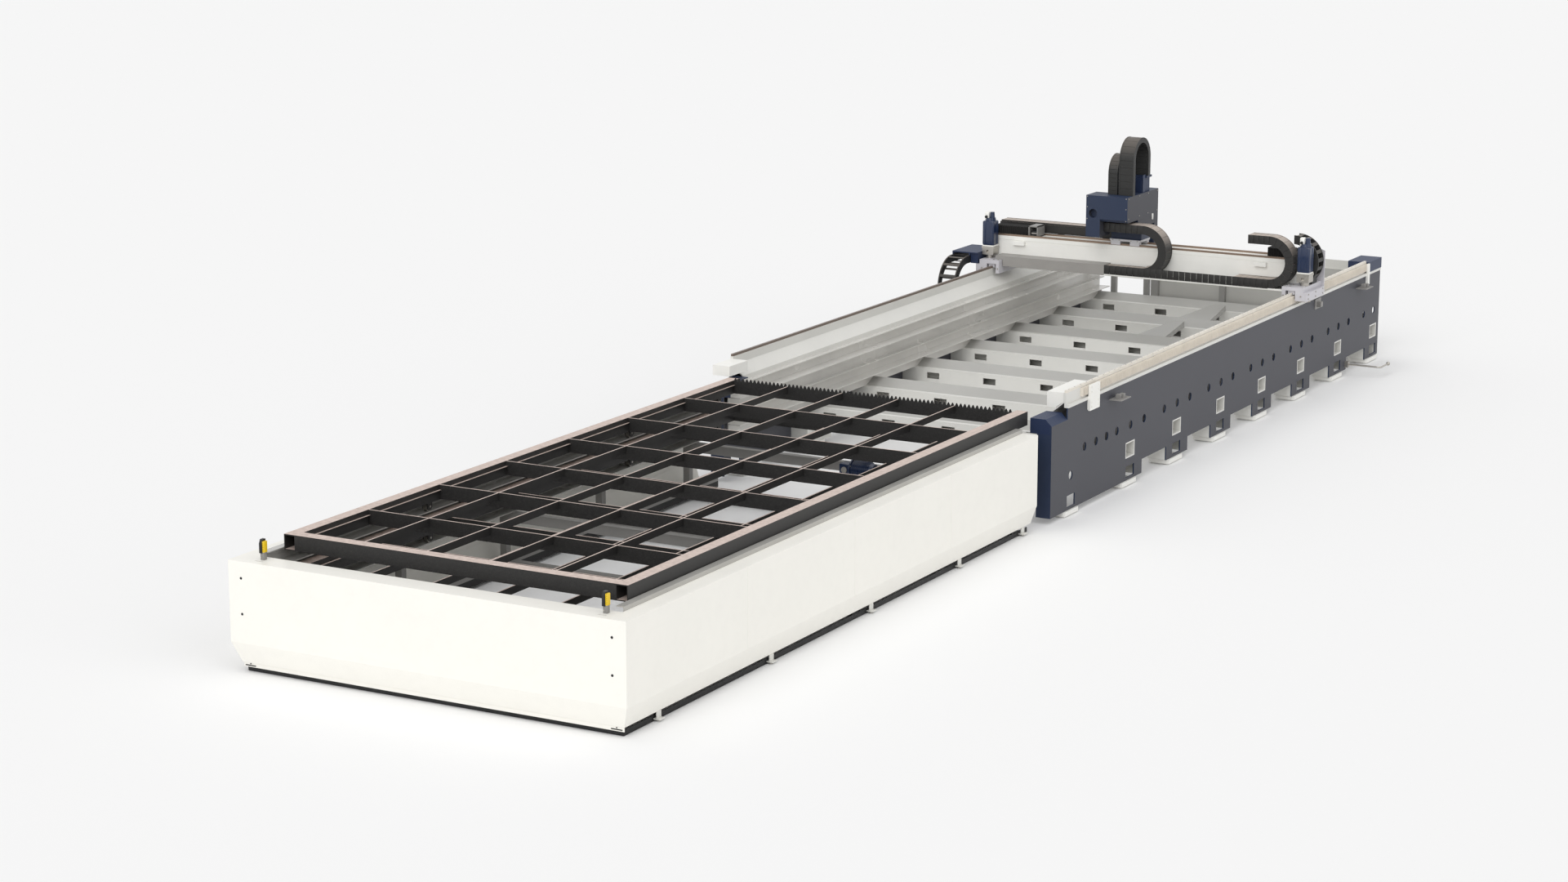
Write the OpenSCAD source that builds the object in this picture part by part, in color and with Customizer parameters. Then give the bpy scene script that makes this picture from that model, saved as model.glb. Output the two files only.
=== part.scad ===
// Laser cutting machine for sheet metal: a cutting bed with a travelling gantry, and an exchange table
// whose two pallets run into the bed on tracks at two levels.
// Y is written from the table's front face, and the whole is then centred over the origin.

/* [Exchange table] */
// Width over the table's side skirts
table_w = 3300; // [3280:1:3340]
// Length of the exchange table
table_l = 6434; // [6400:1:6460]
// Height of the skirt's top
skirt_top = 825; // [815:1:835]
// Height at which the skirt bends inwards
skirt_bend = 226; // [200:1:260]
// Distance that the bent part of the skirt goes in
skirt_inset = 55; // [45:1:65]
// Sheet thickness of skirts and tracks
sheet_t = 8; // [6:1:9]
// Number of panels along each side skirt
skirt_panels = 4; // [3:1:5]
// Section side of the base tubes
base_tube = 100; // [90:1:105]
// Inset of the base frame from the skirts
base_inset = 127; // [120:1:135]
// Height of the levelling feet
foot_h = 31; // [28:1:36]
// Number of posts on each side
post_n = 5; // [4:1:6]

/* [Pallets] */
// Width over the pallet's side tubes
pallet_w = 2876; // [2860:1:2880]
// Length of a pallet
pallet_l = 6311; // [6250:1:6330]
// Distance from the table's front to a pallet
pallet_start = 372; // [350:1:400]
// Width of a pallet tube
tube_w = 100; // [90:1:110]
// Height of a pallet tube
tube_h = 117; // [110:1:120]
// Wall of a pallet tube
tube_wall = 8; // [5:1:12]
// Height of the lower track's running face
lower_track = 515; // [510:1:520]
// Height between the two pallet levels
level_pitch = 243; // [238:1:248]
// Height from a track to the underside of a pallet tube
wheel_space = 81; // [78:1:90]
// Wheel diameter
wheel_d = 74; // [66:1:75]
// Wheel width
wheel_w = 34; // [28:1:38]
// Number of wheels on each side of a pallet
wheel_count = 5; // [4:1:6]
// Number of cross plates in a pallet
plate_count = 6; // [5:1:7]
// Number of bars along a pallet
bar_count = 4; // [3:1:5]
// Thickness of cross plates and bars
plate_t = 12; // [10:1:14]
// Depth of the long bars
bar_h = 56; // [50:1:62]
// Number of teeth on a slat
slat_teeth = 70; // [60:1:76]
// Height of the slat's teeth
slat_tooth_h = 32; // [26:1:36]
// How far the slat's tips stand over the pallet
slat_rise = 23; // [20:1:26]
// Thickness of a slat
slat_t = 6; // [4:1:8]

/* [Bed] */
// Clear distance between the table and the bed
bed_gap = 284; // [276:1:300]
// Length of the bed
bed_l = 8172; // [8160:1:8200]
// Width over the side plates
bed_w = 3286; // [3280:1:3290]
// Thickness of a side plate
side_t = 12; // [10:1:14]
// Height of a side plate's top edge
side_top = 937; // [935:1:939]
// Height of a side plate's bottom edge
side_bottom = 49; // [45:1:53]
// Height of the ridge that carries the guide rail
ridge_top = 1064; // [1060:1:1068]
// Inner edge of the pallet tracks
track_in = 1380; // [1370:1:1385]
// Inner face of the upright webs
web_in = 1500; // [1495:1:1504]
// Number of cross tubes
cross_count = 7; // [7:1:7]
// Distance between cross tubes
cross_pitch = 1056.5; // [1050:0.5:1060]
// Distance from the bed's front to the first cross tube
cross_start = 1568; // [1560:1:1572]
// Depth of a cross tube along the machine
cross_d = 197.5; // [190:0.5:204]
// Height of a cross tube
cross_h = 142; // [136:1:146]
// Underside of the cross tubes
cross_z = 248; // [244:1:252]
// Wall of a cross tube
cross_wall = 12; // [8:1:14]
// Diameter of the round holes in the side plates
side_hole_d = 76; // [60:1:84]
// Height of the round holes
side_hole_z = 538; // [530:1:546]
// Height of the cut-outs in the side plates' lower edges
notch_top = 175; // [170:1:180]
// Length of the low front part of a side plate
cap_l = 321; // [315:1:326]
// Height of the side plates under the front caps
cap_side_top = 838; // [830:1:846]

/* [Gantry] */
// Middle of the gantry saddles along the machine
gantry_y = 12572.5; // [12560:0.5:12580]
// Length of a saddle
saddle_l = 485; // [470:1:495]
// Height of a saddle
saddle_top = 1145; // [1142:1:1150]
// Depth of the gantry beam
beam_d = 252; // [244:1:256]
// Height of the gantry beam
beam_h = 320; // [312:1:324]
// Underside of the gantry beam
beam_z = 1048; // [1044:1:1052]
// Distance from the middle to the gantry beam's right end
beam_right = 1610; // [1600:1:1612]
// Distance from the middle to the gantry beam's left end
beam_left = 1716; // [1706:1:1718]
// Wall of the hollow beam
beam_wall = 14; // [10:1:20]
// Width of the linear guide rails
rail_w = 24; // [20:1:28]
// Height of the linear guide rails
rail_h = 20; // [18:1:22]
// Pitch radius of the drive pinions
pinion_r = 57; // [57:1:57]
// Number of teeth on a drive pinion
pinion_teeth = 12; // [12:1:12]
// Running clearance between moving pieces
run_gap = 0.6; // [0.4:0.1:1]

/* [Carriage] */
// Left edge of the carriage housing
carriage_left = -558; // [-562:1:-554]
// Edge between the carriage's narrow front part and its main part
carriage_step = -406; // [-410:1:-402]
// Right edge of the carriage housing
carriage_right = -110; // [-114:1:-106]
// Top of the carriage housing
carriage_top = 1898; // [1890:1:1906]
// Distance from the nozzle tip to the slat tips
nozzle_gap = 31; // [20:1:40]

/* [Cable chains] */
// Width of the cross chain
chain_w = 160; // [150:1:164]
// Outer radius of the cross chain's bend
chain_out = 257; // [254:1:259]
// Inner radius of the cross chain's bend
chain_in = 170; // [166:1:174]
// Height of the bend's centre
chain_z = 1358; // [1356:1:1360]
// Thickness of a chain's side links
link_t = 12; // [10:1:14]
// Length of a chain link
link_l = 62; // [56:1:70]
// Width of the bars that join the side links of an open chain
link_bar = 30; // [24:1:34]
// Seam between the covers of a closed chain
link_seam = 2; // [2:0.5:4]
// Link length of the side chain
side_link_l = 115; // [100:1:125]
// Inner face of the left side's chain
side_chain_x = 1855; // [1850:1:1865]

/* [Hidden] */
$fn = 48;
bed_start = table_l + bed_gap;
bed_end = bed_start + bed_l;
overall_l = bed_end;
side_x = bed_w / 2;
web_out = web_in + sheet_t;
web_bottom = lower_track - 35;
web_top = skirt_top + 75;
upper_track = lower_track + level_pitch;
track_levels = [lower_track, upper_track];
guard_above_track = 100;
guard_in = pallet_w / 2 + 8;
post_y0 = 400;
post_pitch = (table_l - 2 * post_y0) / (post_n - 1);
base_x = table_w / 2 - base_inset;
base_top = foot_h + base_tube;
cross_y = [for (k = [0:cross_count - 1]) bed_start + cross_start + k * cross_pitch];
notch_front = 267;
notch_rear = 231;
beam_y = gantry_y - 4.5;
beam_top = beam_z + beam_h;
face_y = beam_y;
chain_y0 = face_y - 8 - chain_w;
chain_y1 = chain_y0 + chain_w;
pinion_x = 1700;
pinion_y = gantry_y - 85.5;
rack_x = pinion_x - pinion_r;
tooth_pitch = 2 * PI * pinion_r / pinion_teeth;
addendum = 6;
dedendum = 8;
rack_z0 = 984;
rack_z1 = 1058;
ridge_out = rack_x - dedendum - 9;
ridge_in = 1600;
rail_x = 1616;
slat_tip = upper_track + wheel_space + tube_h + slat_rise;
slat_y = pallet_start + pallet_l - 90;
saddle_step = saddle_top - 48;
neck_h = 36;
gearbox_h = 67;
motor_flange = 18;
motor_z = saddle_top + neck_h + gearbox_h + motor_flange;

steel_white = "#ECEBE6";
cream = "#F3F0E8";
navy = "#2A3A5C";
slate = "#4A4C57";
grey = "#9A9893";
gunmetal = "#2E2D2D";
black = "#161616";
steel = "#B9BABC";
lilac = "#A7A3A8";

module placed() {
    translate([0, -overall_l / 2, 0]) children();
}

module both_sides() {
    children();
    mirror([1, 0, 0]) children();
}

// Draws its children on the right, or mirrored on the left.
module on_side(s) {
    if (s > 0) children();
    else mirror([1, 0, 0]) children();
}

// Box between two opposite corners.
module block(from, to) {
    translate(from) cube(to - from);
}

// Flat rectangle between two opposite corners.
module rect(from, to) {
    translate(from) square(to - from);
}

// Carries a section drawn in X and Z along Y.
module run_y(y0, y1) {
    translate([0, y1, 0]) rotate([90, 0, 0]) linear_extrude(y1 - y0) children();
}

// Carries a section drawn in Y and Z along X.
module run_x(x0, x1) {
    translate([x0, 0, 0]) rotate([90, 0, 90]) linear_extrude(x1 - x0) children();
}

/* Exchange table */

// Section of a side skirt: top flange, upright panel, bent lower part and bottom lip.
module skirt_section(edge_x, flange_in, lip_in) {
    x = edge_x;
    t = sheet_t;
    b = x - skirt_inset;
    z_lip = foot_h + 39;
    polygon([[flange_in, skirt_top - t], [flange_in, skirt_top], [x, skirt_top], [x, skirt_bend],
        [b, z_lip], [lip_in, z_lip], [lip_in, z_lip + t], [b - t / 2, z_lip + t], [x - t, skirt_bend + t],
        [x - t, skirt_top - t]]);
}

module skirt_front() {
    x = table_w / 2;
    t = sheet_t;
    depth = 190;
    hole_r = 5;
    slot = [70, 16];
    z_lip = foot_h + 39;
    color(cream) placed() difference() {
        run_x(-x, x) polygon([[depth, skirt_top - t], [depth, skirt_top], [0, skirt_top], [0, skirt_bend],
            [skirt_inset, z_lip], [base_inset, z_lip], [base_inset, z_lip + t],
            [skirt_inset + t / 2, z_lip + t], [t, skirt_bend + t], [t, skirt_top - t]]);
        both_sides() {
            run_y(-1, base_inset + 1)
                polygon([[x, skirt_bend], [x + 1, skirt_bend], [x + 1, 0], [x - skirt_inset, 0],
                    [x - skirt_inset, z_lip]]);
            for (z = [440, 702]) translate([x - 110, -1, z]) rotate([-90, 0, 0]) cylinder(r = hole_r, h = t + 2);
            block([x - 260, 60, skirt_top - t - 1], [x - 260 + slot[0], 60 + slot[1], skirt_top + 1]);
            block([x - t, t, skirt_bend], [x + 1, depth + 1, skirt_top + 1]);
        }
    }
}

module skirt_sides() {
    x = table_w / 2;
    seam = 3;
    depth = 1.5;
    front_t = sheet_t + 4;
    len = (table_l - sheet_t) / skirt_panels;
    color(cream) placed() both_sides() difference() {
        run_y(sheet_t, table_l) skirt_section(x, web_out, base_x);
        block([0, -1, 0], [x - sheet_t, base_inset, skirt_top - sheet_t]);
        block([0, -1, skirt_top - sheet_t - 1], [x - sheet_t, 190, skirt_top + 1]);
        run_x(x - skirt_inset - sheet_t, x + 1)
            polygon([[-1, 0], [skirt_inset + front_t, 0], [skirt_inset + front_t, foot_h + 39], [front_t, skirt_bend],
                [-1, skirt_bend]]);
        for (k = [1:skirt_panels - 1])
            block([x - depth, sheet_t + k * len - seam / 2, skirt_bend], [x + 1, sheet_t + k * len + seam / 2, skirt_top + 1]);
    }
}

module table_base_rails() {
    w = 120;
    foot_r = 38;
    pad_h = 12;
    post_w = 60;
    stem_r = 16;
    color(grey) placed() both_sides() {
        difference() {
            block([base_x - w, base_inset, foot_h], [base_x, table_l, base_top]);
            block([base_x - w + sheet_t, base_inset - 1, foot_h + sheet_t], [base_x - sheet_t, table_l + 1, base_top - sheet_t]);
        }
        for (k = [0:post_n - 1]) {
            y = post_y0 + k * post_pitch;
            block([web_in - post_w, y - post_w / 2, base_top], [web_in, y + post_w / 2, lower_track - sheet_t]);
            translate([base_x - w / 2, y + 230, 0]) {
                cylinder(r = foot_r, h = pad_h);
                cylinder(r = stem_r, h = foot_h);
            }
        }
    }
}

module table_cross_beams() {
    x = base_x - 120;
    upper_x = web_in - 60;
    w = 60;
    h = 80;
    tray_t = 4;
    color(grey) placed() for (k = [0:post_n - 1]) {
        y = post_y0 + k * post_pitch;
        difference() {
            block([-x, y - w / 2, foot_h], [x, y + w / 2, foot_h + h]);
            block([-x - 1, y - w / 2 + tray_t, foot_h + tray_t], [x + 1, y + w / 2 - tray_t, foot_h + h - tray_t]);
        }
        difference() {
            block([-upper_x, y - w / 2, lower_track - sheet_t - h], [upper_x, y + w / 2, lower_track - sheet_t]);
            block([-upper_x - 1, y - w / 2 + tray_t, lower_track - sheet_t - h + tray_t],
                [upper_x + 1, y + w / 2 - tray_t, lower_track - sheet_t - tray_t]);
        }
    }
}

// Section of the pallet tracks: a web with a running flange and a guard flange at each level.
module track_section(bottom, top) {
    union() {
        rect([web_in, bottom], [web_out, top]);
        for (z = track_levels) {
            rect([track_in, z - sheet_t], [web_in, z]);
            rect([guard_in, z + guard_above_track - sheet_t], [web_in, z + guard_above_track]);
        }
    }
}

module table_tracks() {
    y0 = 210;
    color(steel_white) placed() both_sides()
        run_y(y0, table_l) track_section(web_bottom, upper_track + guard_above_track);
}

// Round motor with its gearbox on a bracket that stands on an upper cross beam.
module table_drive_motor() {
    r = 78;
    rim = 10;
    beam_front = post_y0 + (post_n - 1) * post_pitch - 30;
    at = [215, beam_front - r - rim - 8, lower_track - 35];
    len = 170;
    box = [110, 100];
    bracket_z = [lower_track - sheet_t - 76, lower_track - sheet_t - 4];
    color(navy) placed() {
        translate(at) rotate([90, 0, 90]) {
            cylinder(r = r, h = len);
            translate([0, 0, -12]) cylinder(r = r + rim, h = 12);
            translate([0, 0, len]) cylinder(r = r - 10, h = 28);
            translate([-box[0] / 2, -box[1] / 2, -12 - box[1]]) cube([box[0], box[1], box[1]]);
        }
        block([at[0] - 10, at[1], bracket_z[0]], [at[0] - 2, beam_front, bracket_z[1]]);
        block([at[0] - 80, beam_front - 10, bracket_z[0]], [at[0] + 68, beam_front, bracket_z[1]]);
    }
}

module table_sensor_posts() {
    w = 36;
    d = 46;
    h = 150;
    tip = 95;
    face = 6;
    color(black) placed() both_sides() translate([1404, 96, skirt_top]) {
        run_x(0, w) polygon([[0, 0], [d, 0], [d, h], [d - 20, h], [0, tip]]);
        block([w, 4, 0], [w + face, d - 4, tip]);
    }
}

/* Pallets */

function pallet_z(level) = track_levels[level] + wheel_space;

module pallet_frame(level) {
    z = pallet_z(level);
    x = pallet_w / 2;
    y0 = pallet_start;
    y1 = pallet_start + pallet_l;
    fork_t = 8;
    fork_w = 60;
    ledge = [18, 4];
    color(gunmetal) placed() {
        both_sides() {
            difference() {
                block([x - tube_w, y0, z], [x, y1, z + tube_h]);
                block([x - tube_w + tube_wall, y0 - 1, z + tube_wall], [x - tube_wall, y1 + 1, z + tube_h - tube_wall]);
            }
            block([x - tube_w - ledge[0], y0 + tube_w, z + tube_h - 40 - ledge[1]], [x - tube_w, slat_y, z + tube_h - 40]);
            for (y = wheel_places()) translate([wheel_x(), y, z]) for (s = [-1, 1])
                translate([s * (wheel_w / 2 + run_gap) + (s < 0 ? -fork_t : 0), 0, 0]) fork_plate(fork_t, fork_w);
        }
        difference() {
            block([-x + tube_w, y0, z], [x - tube_w, y0 + tube_w, z + tube_h]);
            block([-x + tube_w - 1, y0 + tube_wall, z + tube_wall],
                [x - tube_w + 1, y0 + tube_w - tube_wall, z + tube_h - tube_wall]);
        }
    }
}

function wheel_x() = (track_in + pallet_w / 2) / 2 - 4;
function wheel_places() = [for (k = [0:wheel_count - 1]) pallet_start + 260 + k * (pallet_l - 520) / (wheel_count - 1)];

// Plate on one side of a wheel, with the bore for its axle.
module fork_plate(t, w) {
    drop = wheel_space - wheel_d / 2;
    axle_r = 8;
    difference() {
        union() {
            block([0, -w / 2, -drop], [t, w / 2, 0]);
            translate([0, 0, -drop]) rotate([0, 90, 0]) cylinder(r = w / 2, h = t);
        }
        translate([-1, 0, -drop]) rotate([0, 90, 0]) cylinder(r = axle_r + 0.3, h = t + 2);
    }
}

module pallet_wheels(level) {
    z = pallet_z(level) - wheel_space + wheel_d / 2 + 0.3;
    reach = wheel_w / 2 + 12;
    color(steel) placed() both_sides() for (y = wheel_places()) translate([wheel_x(), y, z - 0.3])
        rotate([0, 90, 0]) {
            translate([0, 0, -wheel_w / 2]) cylinder(r = wheel_d / 2 - 0.3, h = wheel_w);
            translate([0, 0, -reach]) cylinder(r = 8, h = 2 * reach);
        }
}

function plate_y(k) = pallet_start + pallet_l * (k + 1) / (plate_count + 1) - 20;
function bar_x_at(k) = (k - (bar_count - 1) / 2) * (pallet_w - 2 * tube_w) / (bar_count + 1);

module pallet_plates(level) {
    z = pallet_z(level);
    x = pallet_w / 2 - tube_w;
    slot = plate_t;
    ledge_gap = 19;
    color(gunmetal) placed() for (k = [0:plate_count - 1]) translate([0, plate_y(k), 0]) difference() {
        block([-x, -plate_t / 2, z + 4], [x, plate_t / 2, z + tube_h - 1]);
        for (b = [0:bar_count - 1])
            block([bar_x_at(b) - slot / 2, -plate_t, z + tube_h - 1 - bar_h], [bar_x_at(b) + slot / 2, plate_t, z + tube_h]);
        both_sides() block([x - ledge_gap, -plate_t, z + tube_h - 46], [x + 1, plate_t, z + tube_h - 39]);
    }
}

module pallet_bars(level) {
    z = pallet_z(level);
    y0 = pallet_start + tube_w;
    y1 = slat_y;
    color(gunmetal) placed() for (b = [0:bar_count - 1])
        block([bar_x_at(b) - plate_t / 2, y0, z + tube_h - 1 - bar_h], [bar_x_at(b) + plate_t / 2, y1, z + tube_h - 1]);
}

// Comb of pointed teeth that carries the sheet.
module pallet_slat(level) {
    z = pallet_z(level);
    x = pallet_w / 2 - tube_w;
    pitch = 2 * x / slat_teeth;
    crown = pitch / 6;
    root = z + tube_h + slat_rise - slat_tooth_h;
    tip = z + tube_h + slat_rise;
    teeth = [for (k = [0:slat_teeth - 1], p = [[0, root], [pitch / 2 - crown / 2, tip], [pitch / 2 + crown / 2, tip]])
        [-x + k * pitch + p[0], p[1]]];
    color(gunmetal) placed() run_y(slat_y, slat_y + slat_t)
        polygon(concat([[x, root], [x, z + 2], [-x, z + 2]], teeth));
}

/* Bed */

// Low opening in a side plate between two legs.
module side_notch(k) {
    y0 = cross_y[k] + cross_d / 2 + notch_front;
    y1 = cross_y[k + 1] + cross_d / 2 - notch_rear;
    rect([y0, side_bottom - 1], [y1, notch_top]);
}

module side_outline() {
    foot_slot_h = 100;
    slot_l = 184;
    difference() {
        rect([bed_start, side_bottom], [bed_end, side_top]);
        rect([bed_start - 1, cap_side_top], [bed_start + cap_l, side_top + 1]);
        for (y = cross_y) {
            rect([y, cross_z], [y + cross_d, cross_z + cross_h]);
            rect([y + 9, notch_top - foot_slot_h], [y + 9 + slot_l, notch_top]);
            for (d = [-300, 0, 300]) translate([y + cross_d / 2 + d, side_hole_z]) circle(d = side_hole_d);
        }
        for (k = [0:cross_count - 2]) side_notch(k);
        for (d = [680, 920, 1144]) translate([bed_start + d, side_hole_z]) circle(d = side_hole_d);
        translate([bed_start + 404, 344]) circle(d = side_hole_d);
        rect([bed_start + 334, notch_top - foot_slot_h], [bed_start + 496, notch_top]);
    }
}

// Side plate with the upright plate that closes the bed's front beside the pallets.
module bed_side(s) {
    column_top = 766;
    color(slate) placed() on_side(s) {
        run_x(side_x - side_t, side_x) side_outline();
        run_y(bed_start, bed_start + side_t) rect([web_out + 2, side_bottom], [side_x - side_t, column_top]);
    }
}

// Folded cap with a bevelled edge over each front corner of the bed.
module bed_front_caps() {
    x0 = guard_in;
    z0 = 766;
    top = 895;
    bevel_x = side_x - (top - cap_side_top);
    t = sheet_t;
    color(navy) placed() both_sides() {
        run_y(bed_start, bed_start + side_t) polygon([[x0, z0], [side_x - side_t, z0], [side_x - side_t, cap_side_top],
            [side_x, cap_side_top], [bevel_x, top], [x0, top]]);
        run_y(bed_start + side_t, bed_start + cap_l) polygon([[x0, top - t], [bevel_x - 4, top - t],
            [side_x - side_t, cap_side_top], [side_x, cap_side_top], [bevel_x, top], [x0, top]]);
    }
}

module cross_tubes() {
    slot = [133, 60];
    slot_top = 350;
    slot_pitch = 605;
    first = -1300;
    color(steel_white) placed() for (y = cross_y) difference() {
        run_x(-side_x, side_x) difference() {
            rect([y, cross_z], [y + cross_d, cross_z + cross_h]);
            rect([y + cross_wall, cross_z + cross_wall], [y + cross_d - cross_wall, cross_z + cross_h - cross_wall]);
        }
        for (x = [first:slot_pitch:first + 4 * slot_pitch])
            block([x - slot[0] / 2, y - 1, slot_top - slot[1]], [x + slot[0] / 2, y + cross_wall + 1, slot_top]);
    }
}

// Welded beam along a side: outer strip, ridge for the rail, slanted inner plate and upright web.
module rail_beam(s) {
    strip = [1650, 28];
    groove_x = 1627;
    ridge_z0 = 984;
    t = sheet_t;
    color(steel_white) placed() on_side(s) run_y(bed_start + cap_l + 1, bed_end) {
        polygon([[strip[0], side_top], [strip[0], side_top + strip[1]], [groove_x, side_top + strip[1]],
            [ridge_out, ridge_z0], [ridge_out, ridge_top], [ridge_in, ridge_top], [ridge_in, 990],
            [web_in, web_top], [web_in, upper_track + guard_above_track], [web_out, upper_track + guard_above_track],
            [web_out, web_top - 4], [ridge_in + t, 986 - t / 2], [ridge_in + t, side_top]]);
    }
}

module guide_rails() {
    y0 = bed_start + cap_l + 11;
    color(steel) placed() both_sides() difference() {
        run_y(y0, bed_end - 400) polygon([[rail_x - rail_w / 2, ridge_top], [rail_x + rail_w / 2, ridge_top],
            [rail_x + rail_w / 2, ridge_top + rail_h - 12], [rail_x + rail_w / 2 - 3, ridge_top + rail_h - 8],
            [rail_x + rail_w / 2, ridge_top + rail_h - 4], [rail_x + rail_w / 2, ridge_top + rail_h],
            [rail_x - rail_w / 2, ridge_top + rail_h], [rail_x - rail_w / 2, ridge_top + rail_h - 4],
            [rail_x - rail_w / 2 + 3, ridge_top + rail_h - 8], [rail_x - rail_w / 2, ridge_top + rail_h - 12]]);
    }
}

// Outline of a rack whose tooth gaps fall on the pinion's axis.
module rack_outline(n0, n1) {
    root = rack_x - dedendum;
    tip = rack_x + addendum;
    half_tip = tooth_pitch * 0.115;
    half_root = tooth_pitch * 0.3;
    teeth = [for (k = [n0:n1 - 1], p = [[root, -half_root], [tip, -half_tip], [tip, half_tip], [root, half_root]])
        [p[0], pinion_y + (k + 0.5) * tooth_pitch + p[1]]];
    polygon(concat([[ridge_out, pinion_y + n0 * tooth_pitch]], teeth, [[ridge_out, pinion_y + n1 * tooth_pitch]]));
}

module gear_racks() {
    first = -173;
    last = 67;
    per_piece = 60;
    color(steel) placed() both_sides() for (n = [first:per_piece:last - per_piece])
        translate([0, 0, rack_z0]) linear_extrude(rack_z1 - rack_z0) rack_outline(n, n + per_piece);
}

module bed_tracks() {
    color(steel_white) placed() both_sides()
        run_y(bed_start + 60, bed_end - 60) track_section(cross_z + cross_h, upper_track + guard_above_track);
}

// Sloped covers on the cross tubes, with the narrow chutes of the two rear bays.
module hopper_panels() {
    x = web_in - 1;
    t = 6;
    low = cross_z + cross_h;
    high = low + 62;
    start = 50;
    chutes = [[4, -144, 160, -110, 5], [5, -137, 217, -100, 39]];
    reach = cross_pitch - cross_d + 20;
    flange = 52;
    color(lilac) placed() {
        for (y = cross_y) run_x(-x, x) polygon([[y + start, low], [y + cross_d, high], [y + cross_d, low],
            [y + cross_d - t, low], [y + cross_d - t, high - 10], [y + start + 22, low]]);
        for (c = chutes) translate([0, cross_y[c[0]] + cross_d, 0]) {
            translate([0, 0, high - t]) linear_extrude(t)
                polygon([[c[1], 0], [c[2], 0], [c[4], reach], [c[3], reach]]);
            translate([0, 0, high - flange]) linear_extrude(flange - t + 1)
                polygon([[c[2] - t, 0], [c[2], 0], [c[4], reach], [c[4] - t, reach]]);
            block([c[3], reach - t, low], [c[4], reach, high - t + 1]);
        }
    }
}

// Wall over the rear cross tube, with its grey posts and the portal frame at its left.
module rear_wall() {
    x = web_in - 4;
    t = 10;
    posts = [[-899, -817], [-113, -49]];
    frame_x = [-1370, -928];
    frame_top = 860;
    frame_w = 60;
    sill = 341;
    panel_x = -850;
    y1 = bed_end - 6;
    top = 905;
    color(cream) placed() {
        block([-x, y1 - t, side_bottom], [x, y1, sill]);
        block([panel_x, y1 - t, sill], [x, y1, top]);
        for (p = posts) block([p[0], y1 - t - 50, sill - 90], [p[1], y1 - t, top - 40]);
        run_y(y1 - t - 40, y1) difference() {
            rect([frame_x[0], sill], [frame_x[1], frame_top]);
            rect([frame_x[0] + frame_w, sill + frame_w], [frame_x[1] - frame_w, frame_top - frame_w]);
        }
        block([frame_x[1], y1 - t - 40, 700], [posts[0][0], y1 - t, 760]);
        block([1041, bed_end - 6, 870], [1292, bed_end, 1000]);
        both_sides() block([x, y1 - t - 40, side_bottom], [side_x - side_t, y1, 470]);
    }
}

// Boxes that close the rail beams' ends.
module rail_end_boxes() {
    color(steel_white) placed() {
        difference() {
            block([1444, bed_start + 332, 930], [ridge_in, bed_start + 892, 1062]);
            run_y(bed_start + 331, bed_start + 893) polygon([[web_in - 60, 0], [ridge_in + 1, 0], [ridge_in + 1, 991],
                [web_in - 60, 866]]);
        }
        block([-1620, bed_start, 955], [-1450, bed_start + cap_l + 1, 1045]);
    }
}

// Box that closes the right rail beam's rear end.
module rear_corner_box() {
    color(navy) placed() difference() {
        block([1430, bed_end - 394, 954], [1655, bed_end - 4, 1070]);
        run_y(bed_end - 395, bed_end) offset_ridge();
    }
}

// Section of the rail beam as a cutter for the box that sits over it.
module offset_ridge() {
    polygon([[1656, 900], [1656, side_top + 28], [1627, side_top + 28], [ridge_out, 984], [ridge_out, ridge_top],
        [ridge_in, ridge_top], [ridge_in, 990], [web_in, web_top], [web_in, 800], [1656, 800]]);
}

module end_stops() {
    t = 20;
    bolt_r = 9;
    front = [bed_start + 722, bed_start + 922];
    rear = [bed_end - 446, bed_end - 400];
    color(steel_white) placed() both_sides() {
        difference() {
            block([1650, front[0], 841], [1650 + t, front[1], ridge_top - 2]);
            for (z = [870, 910, 1000, 1040], y = [front[0] + 30, front[1] - 30])
                translate([1650 + t - 6, y, z]) rotate([0, 90, 0]) cylinder(r = bolt_r, h = 7);
        }
        block([1650, rear[0], 848], [1650 + t, rear[1], ridge_top - 3]);
        for (y = [front[0], rear[0]]) block([side_x, y, 850], [1650, y + 46, 937]);
    }
}

module limit_sensors() {
    reach = 115;
    t = 8;
    z = 846;
    len = 210;
    slot = [70, 14];
    body = [40, 50, 36];
    bracket_y = bed_start + 6228;
    color(grey) placed() {
        for (y = [bed_start + 1182, bed_start + 7431]) translate([side_x, y, z]) {
            difference() {
                cube([reach, len, t]);
                for (d = [30, len - 50]) translate([reach / 2 - slot[0] / 2, d, -1]) cube([slot[0], slot[1], t + 2]);
            }
            for (d = [60, 110]) translate([20 + d / 4, d, t]) cube([body[0], body[1] - 10, body[2]]);
        }
        block([side_x, bracket_y, 826], [side_x + t, bracket_y + 160, 926]);
        block([side_x + t, bracket_y + 50, 846], [side_x + 48, bracket_y + 110, 896]);
    }
}

module bed_feet() {
    pad_h = 9;
    inset = 15;
    plate_x = [1460, 1660];
    front = [bed_start + 265, bed_start + 534];
    color(steel_white) placed() both_sides() for (p = concat([front], [for (y = cross_y) [y - 98, min(y + 208, bed_end)]])) {
        block([plate_x[0], p[0], pad_h], [plate_x[1], p[1], side_bottom]);
        block([plate_x[0] + inset, p[0] + inset, 0], [plate_x[1] - inset, p[1] - inset, pad_h]);
    }
}

// Upright boxes, open towards the side plate, that stand under the cross tubes.
module bed_legs() {
    inner_x = 1460;
    wall = 10;
    color(steel_white) placed() both_sides() for (y = cross_y) difference() {
        block([inner_x, y - 130, side_bottom], [side_x - side_t, min(y + 328, bed_end - 60), cross_z]);
        block([inner_x + wall, y - 130 + wall, side_bottom - 1],
            [side_x, min(y + 328, bed_end - 60) - wall, cross_z + 1]);
    }
}

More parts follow.
